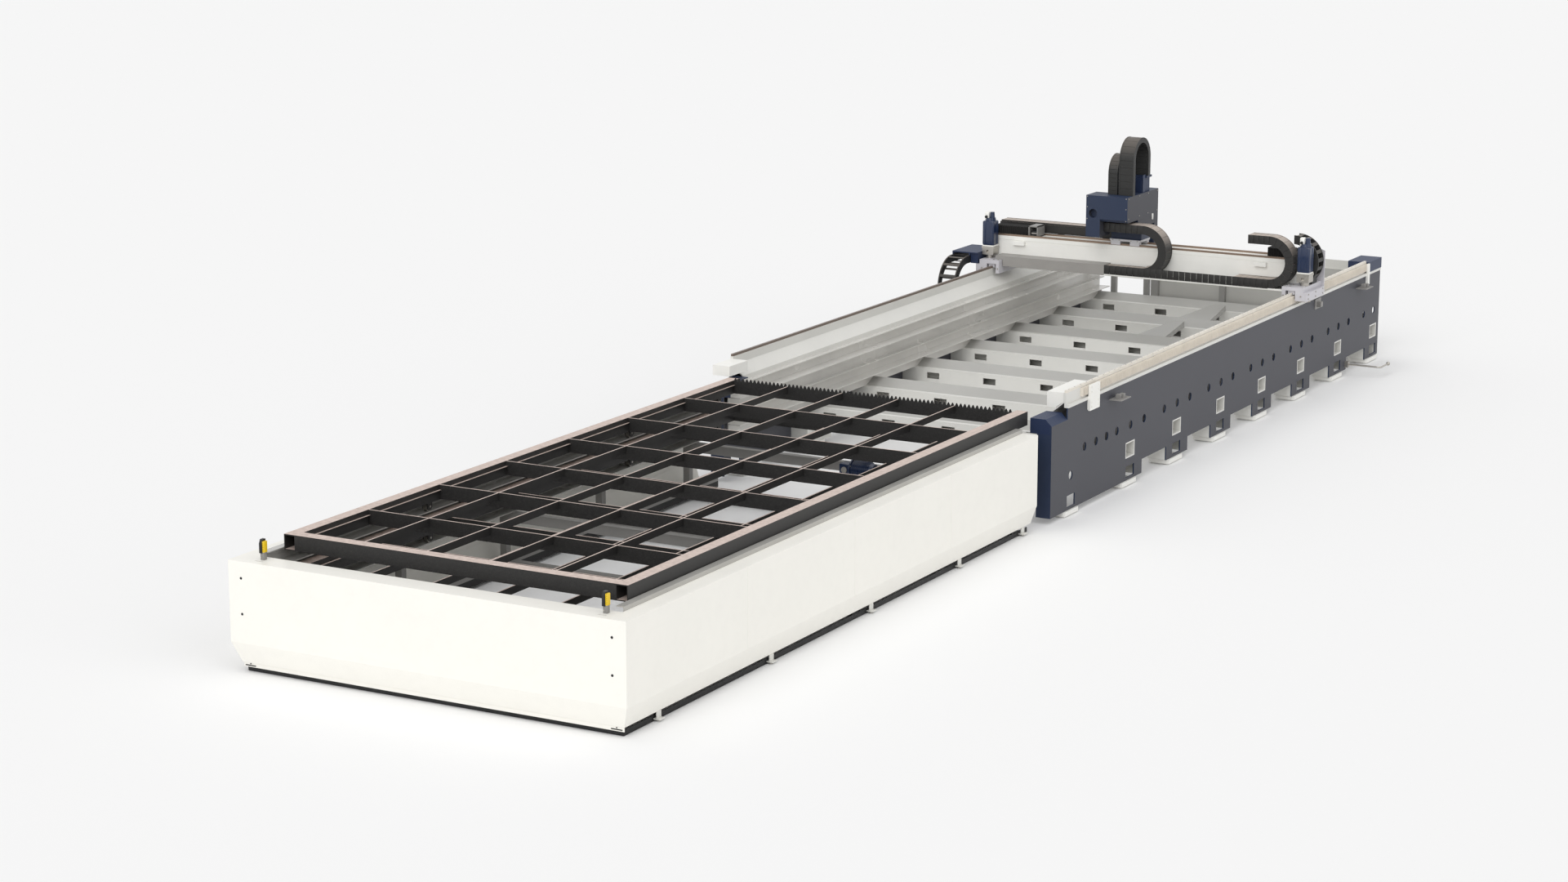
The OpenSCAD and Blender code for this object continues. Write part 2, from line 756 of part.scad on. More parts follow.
// Rod beside the last opening, bent at its end, with a ball and a clevis.
module pull_rod() {
    y = bed_start + 7202;
    z = 105;
    r = 9;
    turn = 40;
    reach = 2018;
    clevis = [36, 46, 60];
    color(steel) placed() {
        translate([side_x, y - clevis[1] / 2, z - clevis[2] / 2]) cube(clevis);
        translate([side_x + 30, y, z]) rotate([0, 90, 0]) cylinder(r = r, h = reach - turn - side_x - 30);
        translate([reach - turn, y + turn, z]) rotate([0, 0, -90]) rotate_extrude(angle = 90) translate([turn, 0]) circle(r = r);
        translate([reach, y + turn, z]) rotate([-90, 0, 0]) cylinder(r = r, h = 190);
        translate([reach, y + turn + 190, z]) sphere(r = 20);
    }
}

/* Gantry */

// Cast saddle that straddles the ridge and carries the beam, with bearing blocks on the guide rail.
module saddle(s) {
    end_plate = [1684, 1779, 1069, 1446, 1480];
    y0 = gantry_y - saddle_l / 2;
    y1 = gantry_y + saddle_l / 2;
    notch = [1562, 1662];
    top = saddle_top - 36;
    block_h = [ridge_top + 5, top];
    pocket_r = pinion_r + addendum + 5;
    color(steel_white) placed() on_side(s) difference() {
        union() {
            run_y(y0, y1) polygon([[1525, 1013], [notch[0], 1013], [notch[0], top], [notch[1], top], [notch[1], 1013],
                [1785, 1013], [1785, saddle_step], [1745, saddle_step], [1745, saddle_top], [1525, saddle_top]]);
            for (y = [y0 + 20, y1 - 130]) difference() {
                block([rail_x - 34, y, block_h[0]], [rail_x + 34, y + 110, block_h[1]]);
                block([rail_x - rail_w / 2 - run_gap, y - 1, 0], [rail_x + rail_w / 2 + run_gap, y + 111, ridge_top + rail_h + run_gap]);
            }
        }
        translate([pinion_x, pinion_y, 900]) cylinder(r = pocket_r, h = rack_z1 + 6 - 900);
        translate([pinion_x, pinion_y, 900]) cylinder(r = 16, h = 400);
        block([1640, y0 - 1, 1000], [notch[1] + 1, y1 + 1, rack_z1 + 6]);
    }
    if (s > 0) color(slate) placed() run_y(y1, y1 + 10) polygon([[end_plate[0], end_plate[2]], [end_plate[1], end_plate[2]],
        [end_plate[1], end_plate[3]], [end_plate[0], end_plate[4]]]);
}

// Gearbox, neck and motor flange over each pinion.
module motor_gearboxes() {
    neck_r = 42;
    side = 124;
    flange = 134;
    hole_r = 17;
    color(steel) placed() both_sides() translate([pinion_x, pinion_y, saddle_top]) difference() {
        union() {
            cylinder(r = neck_r, h = neck_h);
            translate([-side / 2, -side / 2, neck_h]) cube([side, side, gearbox_h]);
            translate([-flange / 2, -flange / 2, neck_h + gearbox_h]) cube([flange, flange, motor_flange]);
        }
        translate([0, 0, -1]) cylinder(r = 13, h = neck_h + 31);
        translate([0, -side / 2 - 1, neck_h + gearbox_h / 2]) rotate([-90, 0, 0]) cylinder(r = hole_r, h = 25);
    }
}

// Servo motor with its brake cap and connector.
module drive_motors() {
    body = [126, 262];
    cap_r = 56;
    cap_h = 30;
    plug = [100, 62, 60];
    color(navy) placed() both_sides() translate([pinion_x, pinion_y, motor_z]) {
        translate([-body[0] / 2, -body[0] / 2, 0]) cube([body[0], body[0], body[1]]);
        translate([0, 0, body[1]]) cylinder(r = cap_r, h = cap_h);
        translate([-plug[0] / 2, -plug[1] / 2 - 10, body[1] + cap_h]) cube(plug);
    }
}

function involute(r) = let (a = acos(min(1, pinion_r * cos(20) / r))) tan(a) * 180 / PI - a;
function half_tooth(r) = 90 / pinion_teeth * 0.78 + involute(pinion_r) - involute(r);

// Spur pinion with involute teeth and its shaft.
module pinion(s) {
    base = pinion_r * cos(20);
    radii = [base, (base + pinion_r) / 2, pinion_r, pinion_r + addendum / 2, pinion_r + addendum - 1];
    root = pinion_r - dedendum;
    h = [rack_z0 + 3, rack_z1 - 3];
    shape = [for (k = [0:pinion_teeth - 1]) let (a = 180 + k * 360 / pinion_teeth)
        for (p = concat([[root, -half_tooth(base)]], [for (r = radii) [r, -half_tooth(r)]],
            [for (i = [4:-1:0]) [radii[i], half_tooth(radii[i])]], [[root, half_tooth(base)]]))
            p[0] * [cos(a + p[1]), sin(a + p[1])]];
    color(steel) placed() on_side(s) translate([pinion_x, pinion_y, 0]) {
        translate([0, 0, h[0]]) linear_extrude(h[1] - h[0]) polygon(shape);
        translate([0, 0, h[1]]) cylinder(r = 12, h = saddle_top + 45 - h[1]);
    }
}

// Hollow beam that rests on both saddles, with its cable tray, face strip and small brackets.
module gantry_beam() {
    y0 = beam_y;
    y1 = beam_y + beam_d;
    seat = 1524;
    w = beam_wall;
    tray_t = 17;
    groove = [6, 8];
    tray_z = chain_z - chain_out;
    color(steel_white) placed() {
        difference() {
            run_y(y0, y1) polygon([[-beam_left, beam_top], [beam_right, beam_top], [beam_right, saddle_top],
                [seat, saddle_top], [seat, beam_z], [-seat, beam_z], [-seat, saddle_top], [-beam_left, saddle_top]]);
            run_x(-beam_left + w, beam_right - w) rect([y0 + w, saddle_top + w], [y1 - w, beam_top - w]);
            run_x(-seat + w, seat - w) rect([y0 + w, beam_z + w], [y1 - w, saddle_top + w + 1]);
            block([-beam_left - 1, y0 - 1, beam_top - 36 - groove[1]], [beam_right + 1, y0 + groove[0], beam_top - 36]);
            for (x = [-900, 0, 900]) translate([x, y1 - w - 1, 1210]) rotate([-90, 0, 0]) cylinder(r = 55, h = w + 2);
        }
        difference() {
            block([-394, chain_y0, tray_z - tray_t], [1500, y0, tray_z]);
            for (x = [-250:250:1400]) block([x, chain_y0 + 30, tray_z - tray_t - 1], [x + 120, chain_y1 - 30, tray_z + 1]);
        }
        for (x = [1151, -1468]) block([x, y0 - 40, 1285], [x + 125, y0, 1325]);
    }
}

module beam_rails() {
    inset = 14;
    color(steel) placed() for (y = [beam_y + inset, beam_y + beam_d - inset - rail_w])
        block([-beam_left + 6, y, beam_top], [beam_right - 6, y + rail_w, beam_top + rail_h - 2]);
}

// Folded covers over the beam's ends.
module beam_bellows() {
    y0 = beam_y + 52;
    y1 = beam_y + beam_d - 52;
    h = 100;
    fold = 22;
    zig = [16, 8];
    frame_x = [-1334, -1225];
    rim = 10;
    wall = 14;
    color(black) placed() for (span = [[12 - beam_left, frame_x[0]], [1257, 1565]]) {
        n = floor((span[1] - span[0]) / fold);
        translate([0, y1, 0]) rotate([90, 0, 0]) linear_extrude(y1 - y0)
            polygon(concat([[span[0], beam_top]], [for (k = [0:n - 1]) each [[span[0] + k * fold, beam_top + h - zig[0]],
                [span[0] + (k + 0.5) * fold, beam_top + h]]], [[span[0] + n * fold, beam_top + h - zig[0]],
                [span[0] + n * fold, beam_top]]));
    }
    color(grey) placed() difference() {
        block([frame_x[0] + 1, y0 - rim, beam_top], [frame_x[1], y1 + rim, beam_top + 116]);
        block([frame_x[0] + 20, y0 - rim - 1, beam_top + wall], [frame_x[1] - wall, y1 + rim + 1, beam_top + 116 - wall]);
    }
}

// Cable chain

// Straight stretch of chain along X: two side plates joined above and below in every link.
// A closed chain has covers with a seam between them, an open one has narrow bars.
module chain_run(len, w, h, link = link_l, bar = 0) {
    n = floor(len / link);
    pitch = len / n;
    wide = bar > 0 ? bar : pitch - link_seam;
    inset = 6;
    recess = 2;
    for (y = [0, w - link_t]) block([0, y, 0], [len, y + link_t, h]);
    for (k = [0:n - 1], z = [recess, h - inset - recess])
        block([(k + 0.5) * pitch - wide / 2, link_t, z], [(k + 0.5) * pitch + wide / 2, w - link_t, z + inset]);
}

// Bent stretch of chain round the Y axis through the origin, from angle a0 to a1.
module chain_bend(r_in, r_out, w, a0, a1, link = link_l, bar = 0) {
    mid = (r_in + r_out) / 2;
    n = floor((a1 - a0) * PI / 180 * mid / link);
    step = (a1 - a0) / n;
    inset = 6;
    recess = 2;
    bar_a = bar > 0 ? bar / mid * 180 / PI : step - link_seam / mid * 180 / PI;
    rotate([90, 0, 0]) translate([0, 0, -w]) {
        for (z = [0, w - link_t]) translate([0, 0, z]) rotate([0, 0, a0])
            rotate_extrude(angle = a1 - a0) translate([r_in, 0]) square([r_out - r_in, link_t]);
        for (k = [0:n - 1], r = [r_in + recess, r_out - inset - recess])
            translate([0, 0, link_t]) rotate([0, 0, a0 + (k + 0.5) * step - bar_a / 2])
                rotate_extrude(angle = bar_a) translate([r, 0]) square([inset, w - 2 * link_t]);
    }
}

chain_h = chain_out - chain_in;
chain_bottom = chain_z - chain_out;
bend_x = 15;
feed_x = 1352;
end_x = 1543;

module cross_chain_lower() {
    color(black) placed() translate([-394, chain_y0, chain_bottom]) chain_run(bend_x + 394, chain_w, chain_h);
}

module cross_chain_bend() {
    color(black) placed() translate([bend_x, chain_y0, chain_z]) chain_bend(chain_in, chain_out, chain_w, -90, 90);
}

module cross_chain_upper() {
    color(black) placed() translate([carriage_step, chain_y0, chain_z + chain_in])
        chain_run(bend_x - carriage_step, chain_w, chain_h);
}

module feed_chain() {
    free_x = 1131;
    start = bend_x + chain_out + 20;
    color(black) placed() {
        translate([start, chain_y0, chain_bottom]) chain_run(feed_x - start, chain_w, chain_h);
        translate([feed_x, chain_y0, chain_z]) chain_bend(chain_in, chain_out, chain_w, -90, 90);
        translate([free_x, chain_y0, chain_z + chain_in]) chain_run(feed_x - free_x, chain_w, chain_h);
    }
}

// Chain at the beam's right end that comes down on the saddle.
module end_chain() {
    w = 150;
    y0 = pinion_y + 92;
    end_a = -42;
    foot = [78, w - 8, 66];
    foot_x = 1660;
    color(black) placed() {
        translate([end_x, y0, chain_z]) chain_bend(chain_in, chain_out, w, end_a, 90, link_l, link_bar);
        translate([foot_x, y0 + 4, saddle_top]) cube(foot);
    }
}

module side_chain_arm() {
    y0 = gantry_y - 253;
    y1 = gantry_y + 208;
    plate_z = [1199, 1211];
    rim_x = [2050, 2040];
    rim_z = 1175;
    box_x = [side_chain_x - 5, 1767];
    color(slate) placed() {
        block([-rim_x[0], y0, plate_z[0]], [-box_x[1], y1, plate_z[1]]);
        block([-rim_x[0], y0, rim_z], [-rim_x[1], y1, plate_z[0]]);
        block([-side_chain_x - 7, y0, rim_z], [-box_x[0], y1, plate_z[0]]);
        block([-box_x[0], y0 + 20, saddle_step], [-box_x[1], y1, plate_z[0]]);
    }
}

// Chain loop beside the left side, hung under the arm.
module side_chain() {
    w = 190;
    r_out = 300;
    r_in = 225;
    z = 875;
    y = gantry_y - 300;
    upper = 420;
    lower = 700;
    bar = 26;
    color(black) placed() translate([-side_chain_x, y, z]) rotate([0, 0, 90]) {
        chain_bend(r_in, r_out, w, 90, 270, side_link_l, bar);
        translate([0, 0, r_in]) chain_run(upper, w, r_out - r_in, side_link_l, bar);
        translate([0, 0, -r_out]) chain_run(lower, w, r_out - r_in, side_link_l, bar);
    }
}

// Channel behind the beam with the chain that lies in it.
module rear_trough() {
    x0 = -1750;
    x1 = -400;
    y0 = beam_y + beam_d;
    w = 166;
    z = 1385;
    h = 90;
    t = 4;
    color(slate) placed() {
        run_x(x0, x1) difference() {
            rect([y0, z], [y0 + w, z + h]);
            rect([y0 + t, z + t], [y0 + w - t, z + h + 1]);
        }
        for (x = [-1600, -1100, -600]) block([x, y0, 1300], [x + 60, y0 + 40, z]);
    }
    color(black) placed() translate([x0 + 10, y0 + 10, z + t]) chain_run(x1 - x0 - 20, w - 20, 100);
}

// Covered duct in front of the beam, from the left saddle to the cross chain's fixed end.
module cable_duct() {
    x0 = -1600;
    x1 = -394;
    step_x = -1520;
    top = 1186;
    step_z = saddle_top + 1;
    bottom = chain_bottom - 17;
    t = 4;
    color(steel_white) placed() difference() {
        run_y(chain_y0, beam_y) polygon([[x0, top], [x1, top], [x1, bottom], [step_x, bottom], [step_x, step_z], [x0, step_z]]);
        run_y(chain_y0 + t, beam_y - t) polygon([[x0 - 1, top - t], [x1 - t, top - t], [x1 - t, bottom + t],
            [step_x + t, bottom + t], [step_x + t, step_z + t], [x0 - 1, step_z + t]]);
    }
}

/* Carriage */

module carriage_housing() {
    front = gantry_y - 272;
    foot_z = 1640;
    arch_z = 1557;
    rear_y0 = beam_y + beam_d + 175;
    rear_y1 = gantry_y + 508;
    wall = 10;
    color(slate) placed() difference() {
        union() {
            run_x(carriage_step, carriage_right) polygon([[front, carriage_top], [front, foot_z + 24], [front + 24, foot_z],
                [beam_y, foot_z], [beam_y + 30, arch_z], [rear_y0, arch_z], [rear_y0, 1130], [rear_y1, 1130],
                [rear_y1, carriage_top]]);
            run_x(carriage_left, carriage_step) rect([front, foot_z], [front + 250, carriage_top]);
            run_y(front, front + 250) rect([carriage_left, 1480], [carriage_step, foot_z + 40]);
        }
        translate([-483, front - 1, 1717]) rotate([-90, 0, 0]) cylinder(r = 45, h = 60);
        run_x(carriage_step + wall, carriage_right - wall) union() {
            rect([front + wall, foot_z + 40], [rear_y1 - wall, carriage_top - wall]);
            rect([beam_y + beam_d + wall, arch_z - 1], [rear_y0 - wall, foot_z + 50]);
        }
    }
}

// Plate and bearing blocks that carry the housing on the beam's rails.
module carriage_slide() {
    x0 = carriage_step;
    x1 = carriage_right + 30;
    rail_top = beam_top + rail_h - 2;
    z_plate = rail_top + 26;
    arch_z = 1557;
    inset = 14;
    color(navy) placed() {
        block([x0, beam_y + 31, z_plate + 24], [x1, beam_y + beam_d - 13, arch_z]);
        block([x0, beam_y, z_plate], [x1, beam_y + beam_d, z_plate + 24]);
        for (x = [x0 + 10, x1 - 110], y = [beam_y + inset + rail_w / 2, beam_y + beam_d - inset - rail_w / 2])
            difference() {
                block([x, y - 26, beam_top + 6], [x + 100, y + 26, z_plate]);
                block([x - 1, y - rail_w / 2 - run_gap, beam_top], [x + 101, y + rail_w / 2 + run_gap, rail_top + run_gap]);
            }
    }
}

// Upright chain loop over the carriage.
module lift_chain() {
    w = 155;
    r_out = 215;
    r_in = 162;
    z = 2247;
    y = gantry_y + 72;
    color(black) placed() translate([-265 + w, y, z]) rotate([0, 0, 90]) {
        chain_bend(r_in, r_out, w, 0, 180);
        translate([-r_out, 0, 0]) rotate([0, 90, 0]) chain_run(z - carriage_top, w, r_out - r_in);
        translate([r_in, 0, 0]) rotate([0, 90, 0]) chain_run(z - 2060, w, r_out - r_in);
    }
}

// Smaller ribbed loop beside the upright chain.
module lift_hose_loop() {
    w = 100;
    r_out = 183;
    r_in = 130;
    z = 2108;
    y = gantry_y + 49.5;
    rib = 36;
    color(black) placed() translate([-385 + w, y, z]) rotate([0, 0, 90]) {
        chain_bend(r_in, r_out, w, 0, 180, rib);
        for (x = [-r_out, r_in]) translate([x, 0, 0]) rotate([0, 90, 0])
            chain_run(z - carriage_top, w, r_out - r_in, rib);
    }
}

// Boxes of the lift drive on the housing.
module lift_drive_box() {
    y = gantry_y + 124;
    color(navy) placed() {
        block([-240, y, carriage_top], [-134, y + 206, 2040]);
        block([-265, y + 80, 2040], [-110, y + 206, 2060]);
        block([-130, y + 10, carriage_top], [-122, y + 70, 2075]);
    }
}

// Plate that carries the head on guides behind the beam.
module head_slide() {
    y0 = gantry_y + 508 + run_gap;
    x0 = -350;
    x1 = -170;
    color(steel) placed() difference() {
        union() {
            block([x0, y0, 1180], [x1, y0 + 30, 1560]);
            block([x0 + 20, y0 + 30, 1180], [x1 - 20, y0 + 60, 1330]);
        }
        for (z = [1220, 1500], x = [x0 + 30, x1 - 30]) translate([x, y0 - 1, z]) rotate([-90, 0, 0]) cylinder(r = 7, h = 32);
    }
}

// Laser cutting head: body, lens tube, cone and nozzle with its through bore.
module cutting_head() {
    y = gantry_y + 508 + run_gap + 60 + 55;
    tip = slat_tip + nozzle_gap;
    bore = 2;
    color(black) placed() translate([-260, y, tip]) {
        difference() {
            rotate_extrude() polygon([[bore, 0], [6, 0], [12, 14], [16, 14], [16, 26], [34, 70], [42, 78], [42, 170], [50, 180],
                [50, 420], [38, 440], [bore, 440]]);
            translate([-60, -60, 300]) cube([120, 10, 60]);
        }
        translate([-45, -55, 200]) cube([90, 20, 160]);
    }
}

skirt_front();  // table_skirt_front
skirt_sides();  // table_skirt_sides
table_base_rails();
table_cross_beams();
table_tracks();
table_drive_motor();
table_sensor_posts();
pallet_frame(1);  // upper_pallet_frame
pallet_plates(1);  // upper_pallet_plates
pallet_bars(1);  // upper_pallet_bars
pallet_slat(1);  // upper_pallet_slat
pallet_wheels(1);  // upper_pallet_wheels
pallet_frame(0);  // lower_pallet_frame
pallet_plates(0);  // lower_pallet_plates
pallet_bars(0);  // lower_pallet_bars
pallet_slat(0);  // lower_pallet_slat
pallet_wheels(0);  // lower_pallet_wheels
bed_side(1);  // bed_side_right
bed_side(-1);  // bed_side_left
cross_tubes();
rail_beam(1);  // rail_beam_right
rail_beam(-1);  // rail_beam_left
guide_rails();
gear_racks();
bed_tracks();
hopper_panels();
rear_wall();
rail_end_boxes();
end_stops();
limit_sensors();
bed_feet();
bed_legs();
bed_front_caps();
rear_corner_box();
pull_rod();
cable_duct();
motor_gearboxes();
lift_hose_loop();
gantry_beam();
beam_rails();
saddle(1);  // saddle_right
saddle(-1);  // saddle_left
drive_motors();
pinion(1);  // pinion_right
pinion(-1);  // pinion_left
beam_bellows();
cross_chain_lower();
feed_chain();
end_chain();
side_chain();
side_chain_arm();
rear_trough();
carriage_housing();
carriage_slide();
cross_chain_upper();
cross_chain_bend();
lift_chain();
lift_drive_box();
head_slide();
cutting_head();
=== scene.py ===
import math
import bmesh
import bpy
from mathutils import Matrix, Vector


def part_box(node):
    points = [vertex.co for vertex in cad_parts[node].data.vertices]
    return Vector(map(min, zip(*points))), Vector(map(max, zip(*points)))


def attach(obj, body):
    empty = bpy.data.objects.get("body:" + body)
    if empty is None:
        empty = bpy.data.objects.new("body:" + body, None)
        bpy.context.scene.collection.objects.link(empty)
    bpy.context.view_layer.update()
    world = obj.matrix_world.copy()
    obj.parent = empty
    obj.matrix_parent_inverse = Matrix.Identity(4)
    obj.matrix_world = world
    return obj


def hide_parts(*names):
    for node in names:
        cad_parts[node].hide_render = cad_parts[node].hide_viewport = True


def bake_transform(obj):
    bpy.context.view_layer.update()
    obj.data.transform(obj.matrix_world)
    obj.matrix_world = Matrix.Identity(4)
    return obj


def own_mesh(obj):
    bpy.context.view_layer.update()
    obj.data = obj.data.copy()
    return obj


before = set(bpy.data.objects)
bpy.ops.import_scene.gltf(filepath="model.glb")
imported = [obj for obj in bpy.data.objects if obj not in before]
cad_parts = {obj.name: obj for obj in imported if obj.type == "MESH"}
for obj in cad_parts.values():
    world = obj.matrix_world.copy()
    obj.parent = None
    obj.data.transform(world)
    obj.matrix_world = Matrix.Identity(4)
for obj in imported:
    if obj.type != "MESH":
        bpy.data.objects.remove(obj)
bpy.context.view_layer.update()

# Directions: X to the machine's right, Y from the table's front to the rear, Z up; all lengths in metres

RIGHT = (1, 0, 0)
FRONT = (0, -1, 0)
UP = (0, 0, 1)

# Places where the paint of a node changes colour

BEAM_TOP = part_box("beam_rails")[0][2]
SLIDE_PLATE_TOP = BEAM_TOP + 0.065
# Height up to which the table's base is painted black as a painted contact shadow
CONTACT_SHADOW_TOP = 0.085
REAR_PANEL_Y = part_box("rear_wall")[0][1] + 0.05
NOZZLE_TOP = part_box("cutting_head")[0][2] + 0.026

# Materials

# Sockets of the Mix node that carry its two colours and the result
MIX_A = 6
MIX_B = 7
MIX_RESULT = 2

# Powder coat's orange peel: the scale of its noise, and the height of a fine bump
PEEL_SCALE = 420.0
FINE_BUMP = 0.0006


def opaque(colour):
    """Colour with the alpha of 1 that a socket expects."""
    return (*colour, 1.0)


def linear(hex_code):
    """Colour as written on screen (sRGB), turned into Blender's linear values."""
    out = []
    for i in (0, 2, 4):
        c = int(hex_code[i:i + 2], 16) / 255
        out.append(c / 12.92 if c <= 0.04045 else ((c + 0.055) / 1.055) ** 2.4)
    return tuple(out)


def shade(colour, k):
    """Colour made darker or lighter by a factor."""
    return tuple(min(1.0, v * k) for v in colour)


class Surface:
    """Small helper that builds one node material in object space."""

    def __init__(self, name):
        self.mat = bpy.data.materials.new(name)
        self.mat.use_nodes = True
        self.tree = self.mat.node_tree
        self.bsdf = self.tree.nodes["Principled BSDF"]
        self.coords = self.tree.nodes.new("ShaderNodeTexCoord").outputs["Object"]

    def node(self, kind, **settings):
        """New node; each setting fills the input of that name, or else the node's own property."""
        n = self.tree.nodes.new(kind)
        for key, v in settings.items():
            if key in n.inputs:
                n.inputs[key].default_value = v
            else:
                setattr(n, key, v)
        return n

    def link(self, a, b):
        self.tree.links.new(a, b)

    def noise(self, scale, detail, rough=0.55, stretch=(1, 1, 1)):
        """Noise that is finer along the axes with a larger stretch."""
        mapping = self.node("ShaderNodeMapping", Scale=stretch)
        self.link(self.coords, mapping.inputs["Vector"])
        n = self.node("ShaderNodeTexNoise", Scale=scale, Detail=detail, Roughness=rough)
        self.link(mapping.outputs["Vector"], n.inputs["Vector"])
        return n.outputs["Fac"]

    def ramp(self, fac, stops):
        """Colour ramp through stops, each a place from 0 to 1 and a colour."""
        r = self.node("ShaderNodeValToRGB")
        self.link(fac, r.inputs["Fac"])
        e = r.color_ramp.elements
        while len(e) < len(stops):
            e.new(0.5)
        for item, (place, colour) in zip(e, stops):
            item.position = place
            item.color = opaque(colour)
        return r.outputs["Color"]

    def span(self, fac, given, wanted):
        """Maps the values between a given pair to those between a wanted pair, clamped at both ends."""
        m = self.node("ShaderNodeMapRange")
        for key, v in zip(("From Min", "From Max", "To Min", "To Max"), (*given, *wanted)):
            m.inputs[key].default_value = v
        self.link(fac, m.inputs["Value"])
        return m.outputs["Result"]

    def mix(self, fac, a, b):
        """Mix of two colours, each a plain colour or a socket."""
        m = self.node("ShaderNodeMix", data_type="RGBA")
        self.link(fac, m.inputs["Factor"])
        for sock, v in ((m.inputs[MIX_A], a), (m.inputs[MIX_B], b)):
            if isinstance(v, tuple):
                sock.default_value = opaque(v)
            else:
                self.link(v, sock)
        return m.outputs[MIX_RESULT]

    def normal_axis(self, axis):
        """How far the surface faces along an axis of the machine."""
        geo = self.node("ShaderNodeNewGeometry")
        split = self.node("ShaderNodeSeparateXYZ")
        self.link(geo.outputs["Normal"], split.inputs[0])
        return split.outputs[axis]

    def past(self, axis, place):
        """1 where the machine's own coordinate lies beyond a place, otherwise 0."""
        blur = 0.0008
        split = self.node("ShaderNodeSeparateXYZ")
        self.link(self.coords, split.inputs[0])
        return self.span(split.outputs[axis], (place - blur, place + blur), (0.0, 1.0))

    def bump(self, height, strength, distance):
        b = self.node("ShaderNodeBump", Strength=strength, Distance=distance)
        self.link(height, b.inputs["Height"])
        self.link(b.outputs["Normal"], self.bsdf.inputs["Normal"])

    def finish(self, colour, rough, metallic=0.0, specular=0.5, coat=0.0):
        """Joins colour and roughness to the shader, sets its even values and returns the material."""
        self.link(colour, self.bsdf.inputs["Base Color"])
        if isinstance(rough, float):
            self.bsdf.inputs["Roughness"].default_value = rough
        else:
            self.link(rough, self.bsdf.inputs["Roughness"])
        self.bsdf.inputs["Metallic"].default_value = metallic
        self.bsdf.inputs["Specular IOR Level"].default_value = specular
        self.bsdf.inputs["Coat Weight"].default_value = coat
        return self.mat


def paint(name, hex_code, rough, wear, grain=0.04, coat=0.0):
    """Powder coat: slight tone drift, dusty patches and fine orange peel."""
    s = Surface(name)
    c = linear(hex_code)
    drift = s.noise(scale=1.3, detail=3.0)
    tone = s.ramp(drift, [(0.3, shade(c, 1 - wear)), (0.7, shade(c, 1 + wear / 3))])
    dust = s.span(s.noise(scale=9.0, detail=6.0, rough=0.7), (0.45, 0.8), (0.0, 0.16))
    colour = s.mix(dust, tone, shade(c, 0.82))
    s.bump(s.noise(PEEL_SCALE, detail=2.0), grain, FINE_BUMP)
    return s.finish(colour, s.span(drift, (0.2, 0.8), (rough - 0.06, rough + 0.08)), coat=coat)


def painted_in_two(name, low_hex, high_hex, axis, place, rough=0.42):
    """Paint with one colour before a place along an axis of the machine and another beyond it."""
    s = Surface(name)
    soot = (0.03, 0.03, 0.03)
    drift = s.noise(scale=2.1, detail=4.0)
    flat = s.mix(s.past(axis, place), linear(low_hex), linear(high_hex))
    colour = s.mix(s.span(drift, (0.35, 0.75), (0.0, 0.12)), flat, soot)
    s.bump(s.noise(PEEL_SCALE, detail=2.0), 0.05, FINE_BUMP)
    return s.finish(colour, s.span(drift, (0.2, 0.8), (rough - 0.05, rough + 0.08)))


def sensor_mask():
    """Yellow face of the light sensors with a field of dark lenses."""
    s = Surface("Sensor_yellow")
    rows = s.node("ShaderNodeTexVoronoi", Scale=75.0, Randomness=0.0)
    s.link(s.coords, rows.inputs["Vector"])
    face = s.span(rows.outputs["Distance"], (0.22, 0.28), (0.0, 1.0))
    s.bump(s.noise(scale=300.0, detail=2.0), 0.08, FINE_BUMP)
    return s.finish(s.mix(face, linear("3A3208"), linear("E9C41C")), rough=0.38)


def lit_and_shaded_coat(name, front_hex, side_hex):
    """Textured coat of one paint in two tones of painted light and shade: one colour on faces that look
    forward, back or up and another on the flanks.
    """
    s = Surface(name)
    rough = 0.5
    front = linear(front_hex)
    side = linear(side_hex)
    # Painted light and shade: faces that look along X take the flank colour
    x = s.normal_axis("X")
    flank = s.node("ShaderNodeMath", operation="MULTIPLY")
    s.link(x, flank.inputs[0])
    s.link(x, flank.inputs[1])
    lit_shaded_blend = s.mix(flank.outputs[0], front, side)
    drift = s.noise(scale=1.1, detail=3.0)
    colour = s.mix(s.span(drift, (0.35, 0.7), (0.0, 0.18)), lit_shaded_blend, shade(side, 0.7))
    speck = s.noise(scale=300.0, detail=2.0)
    s.bump(speck, 0.12, distance=0.0008)
    return s.finish(colour, s.span(speck, (0.3, 0.7), (rough - 0.05, rough + 0.1)))


def rail_metal(name, shaded_left_hex, lit_right_hex, rough=0.32):
    """Oiled rail steel, drawn brown on the machine's left side and pale on its right: painted shade and
    painted reflection on one steel.
    """
    s = Surface(name)
    middle = 0.0
    oil = (0.12, 0.1, 0.085)
    # Painted reflection and shade: pale right of the middle, brown left of it
    tone = s.mix(s.past("X", middle), linear(shaded_left_hex), linear(lit_right_hex))
    wear = s.noise(scale=6.0, detail=5.0)
    colour = s.mix(s.span(wear, (0.4, 0.7), (0.0, 0.1)), tone, oil)
    s.bump(s.noise(scale=260.0, detail=2.0), 0.06, distance=0.0005)
    return s.finish(colour, s.span(wear, (0.2, 0.8), (rough - 0.06, rough + 0.1)))


def machined(name, hex_code):
    """Ground steel with fine marks drawn along the machine."""
    s = Surface(name)
    rough = 0.3
    c = linear(hex_code)
    marks = s.noise(scale=8.0, detail=5.0, rough=0.6, stretch=(60, 1, 60))
    colour = s.ramp(marks, [(0.3, shade(c, 0.8)), (0.7, shade(c, 1.08))])
    s.bump(marks, 0.1, FINE_BUMP)
    return s.finish(colour, s.span(marks, (0.3, 0.7), (rough - 0.08, rough + 0.14)), metallic=0.85)


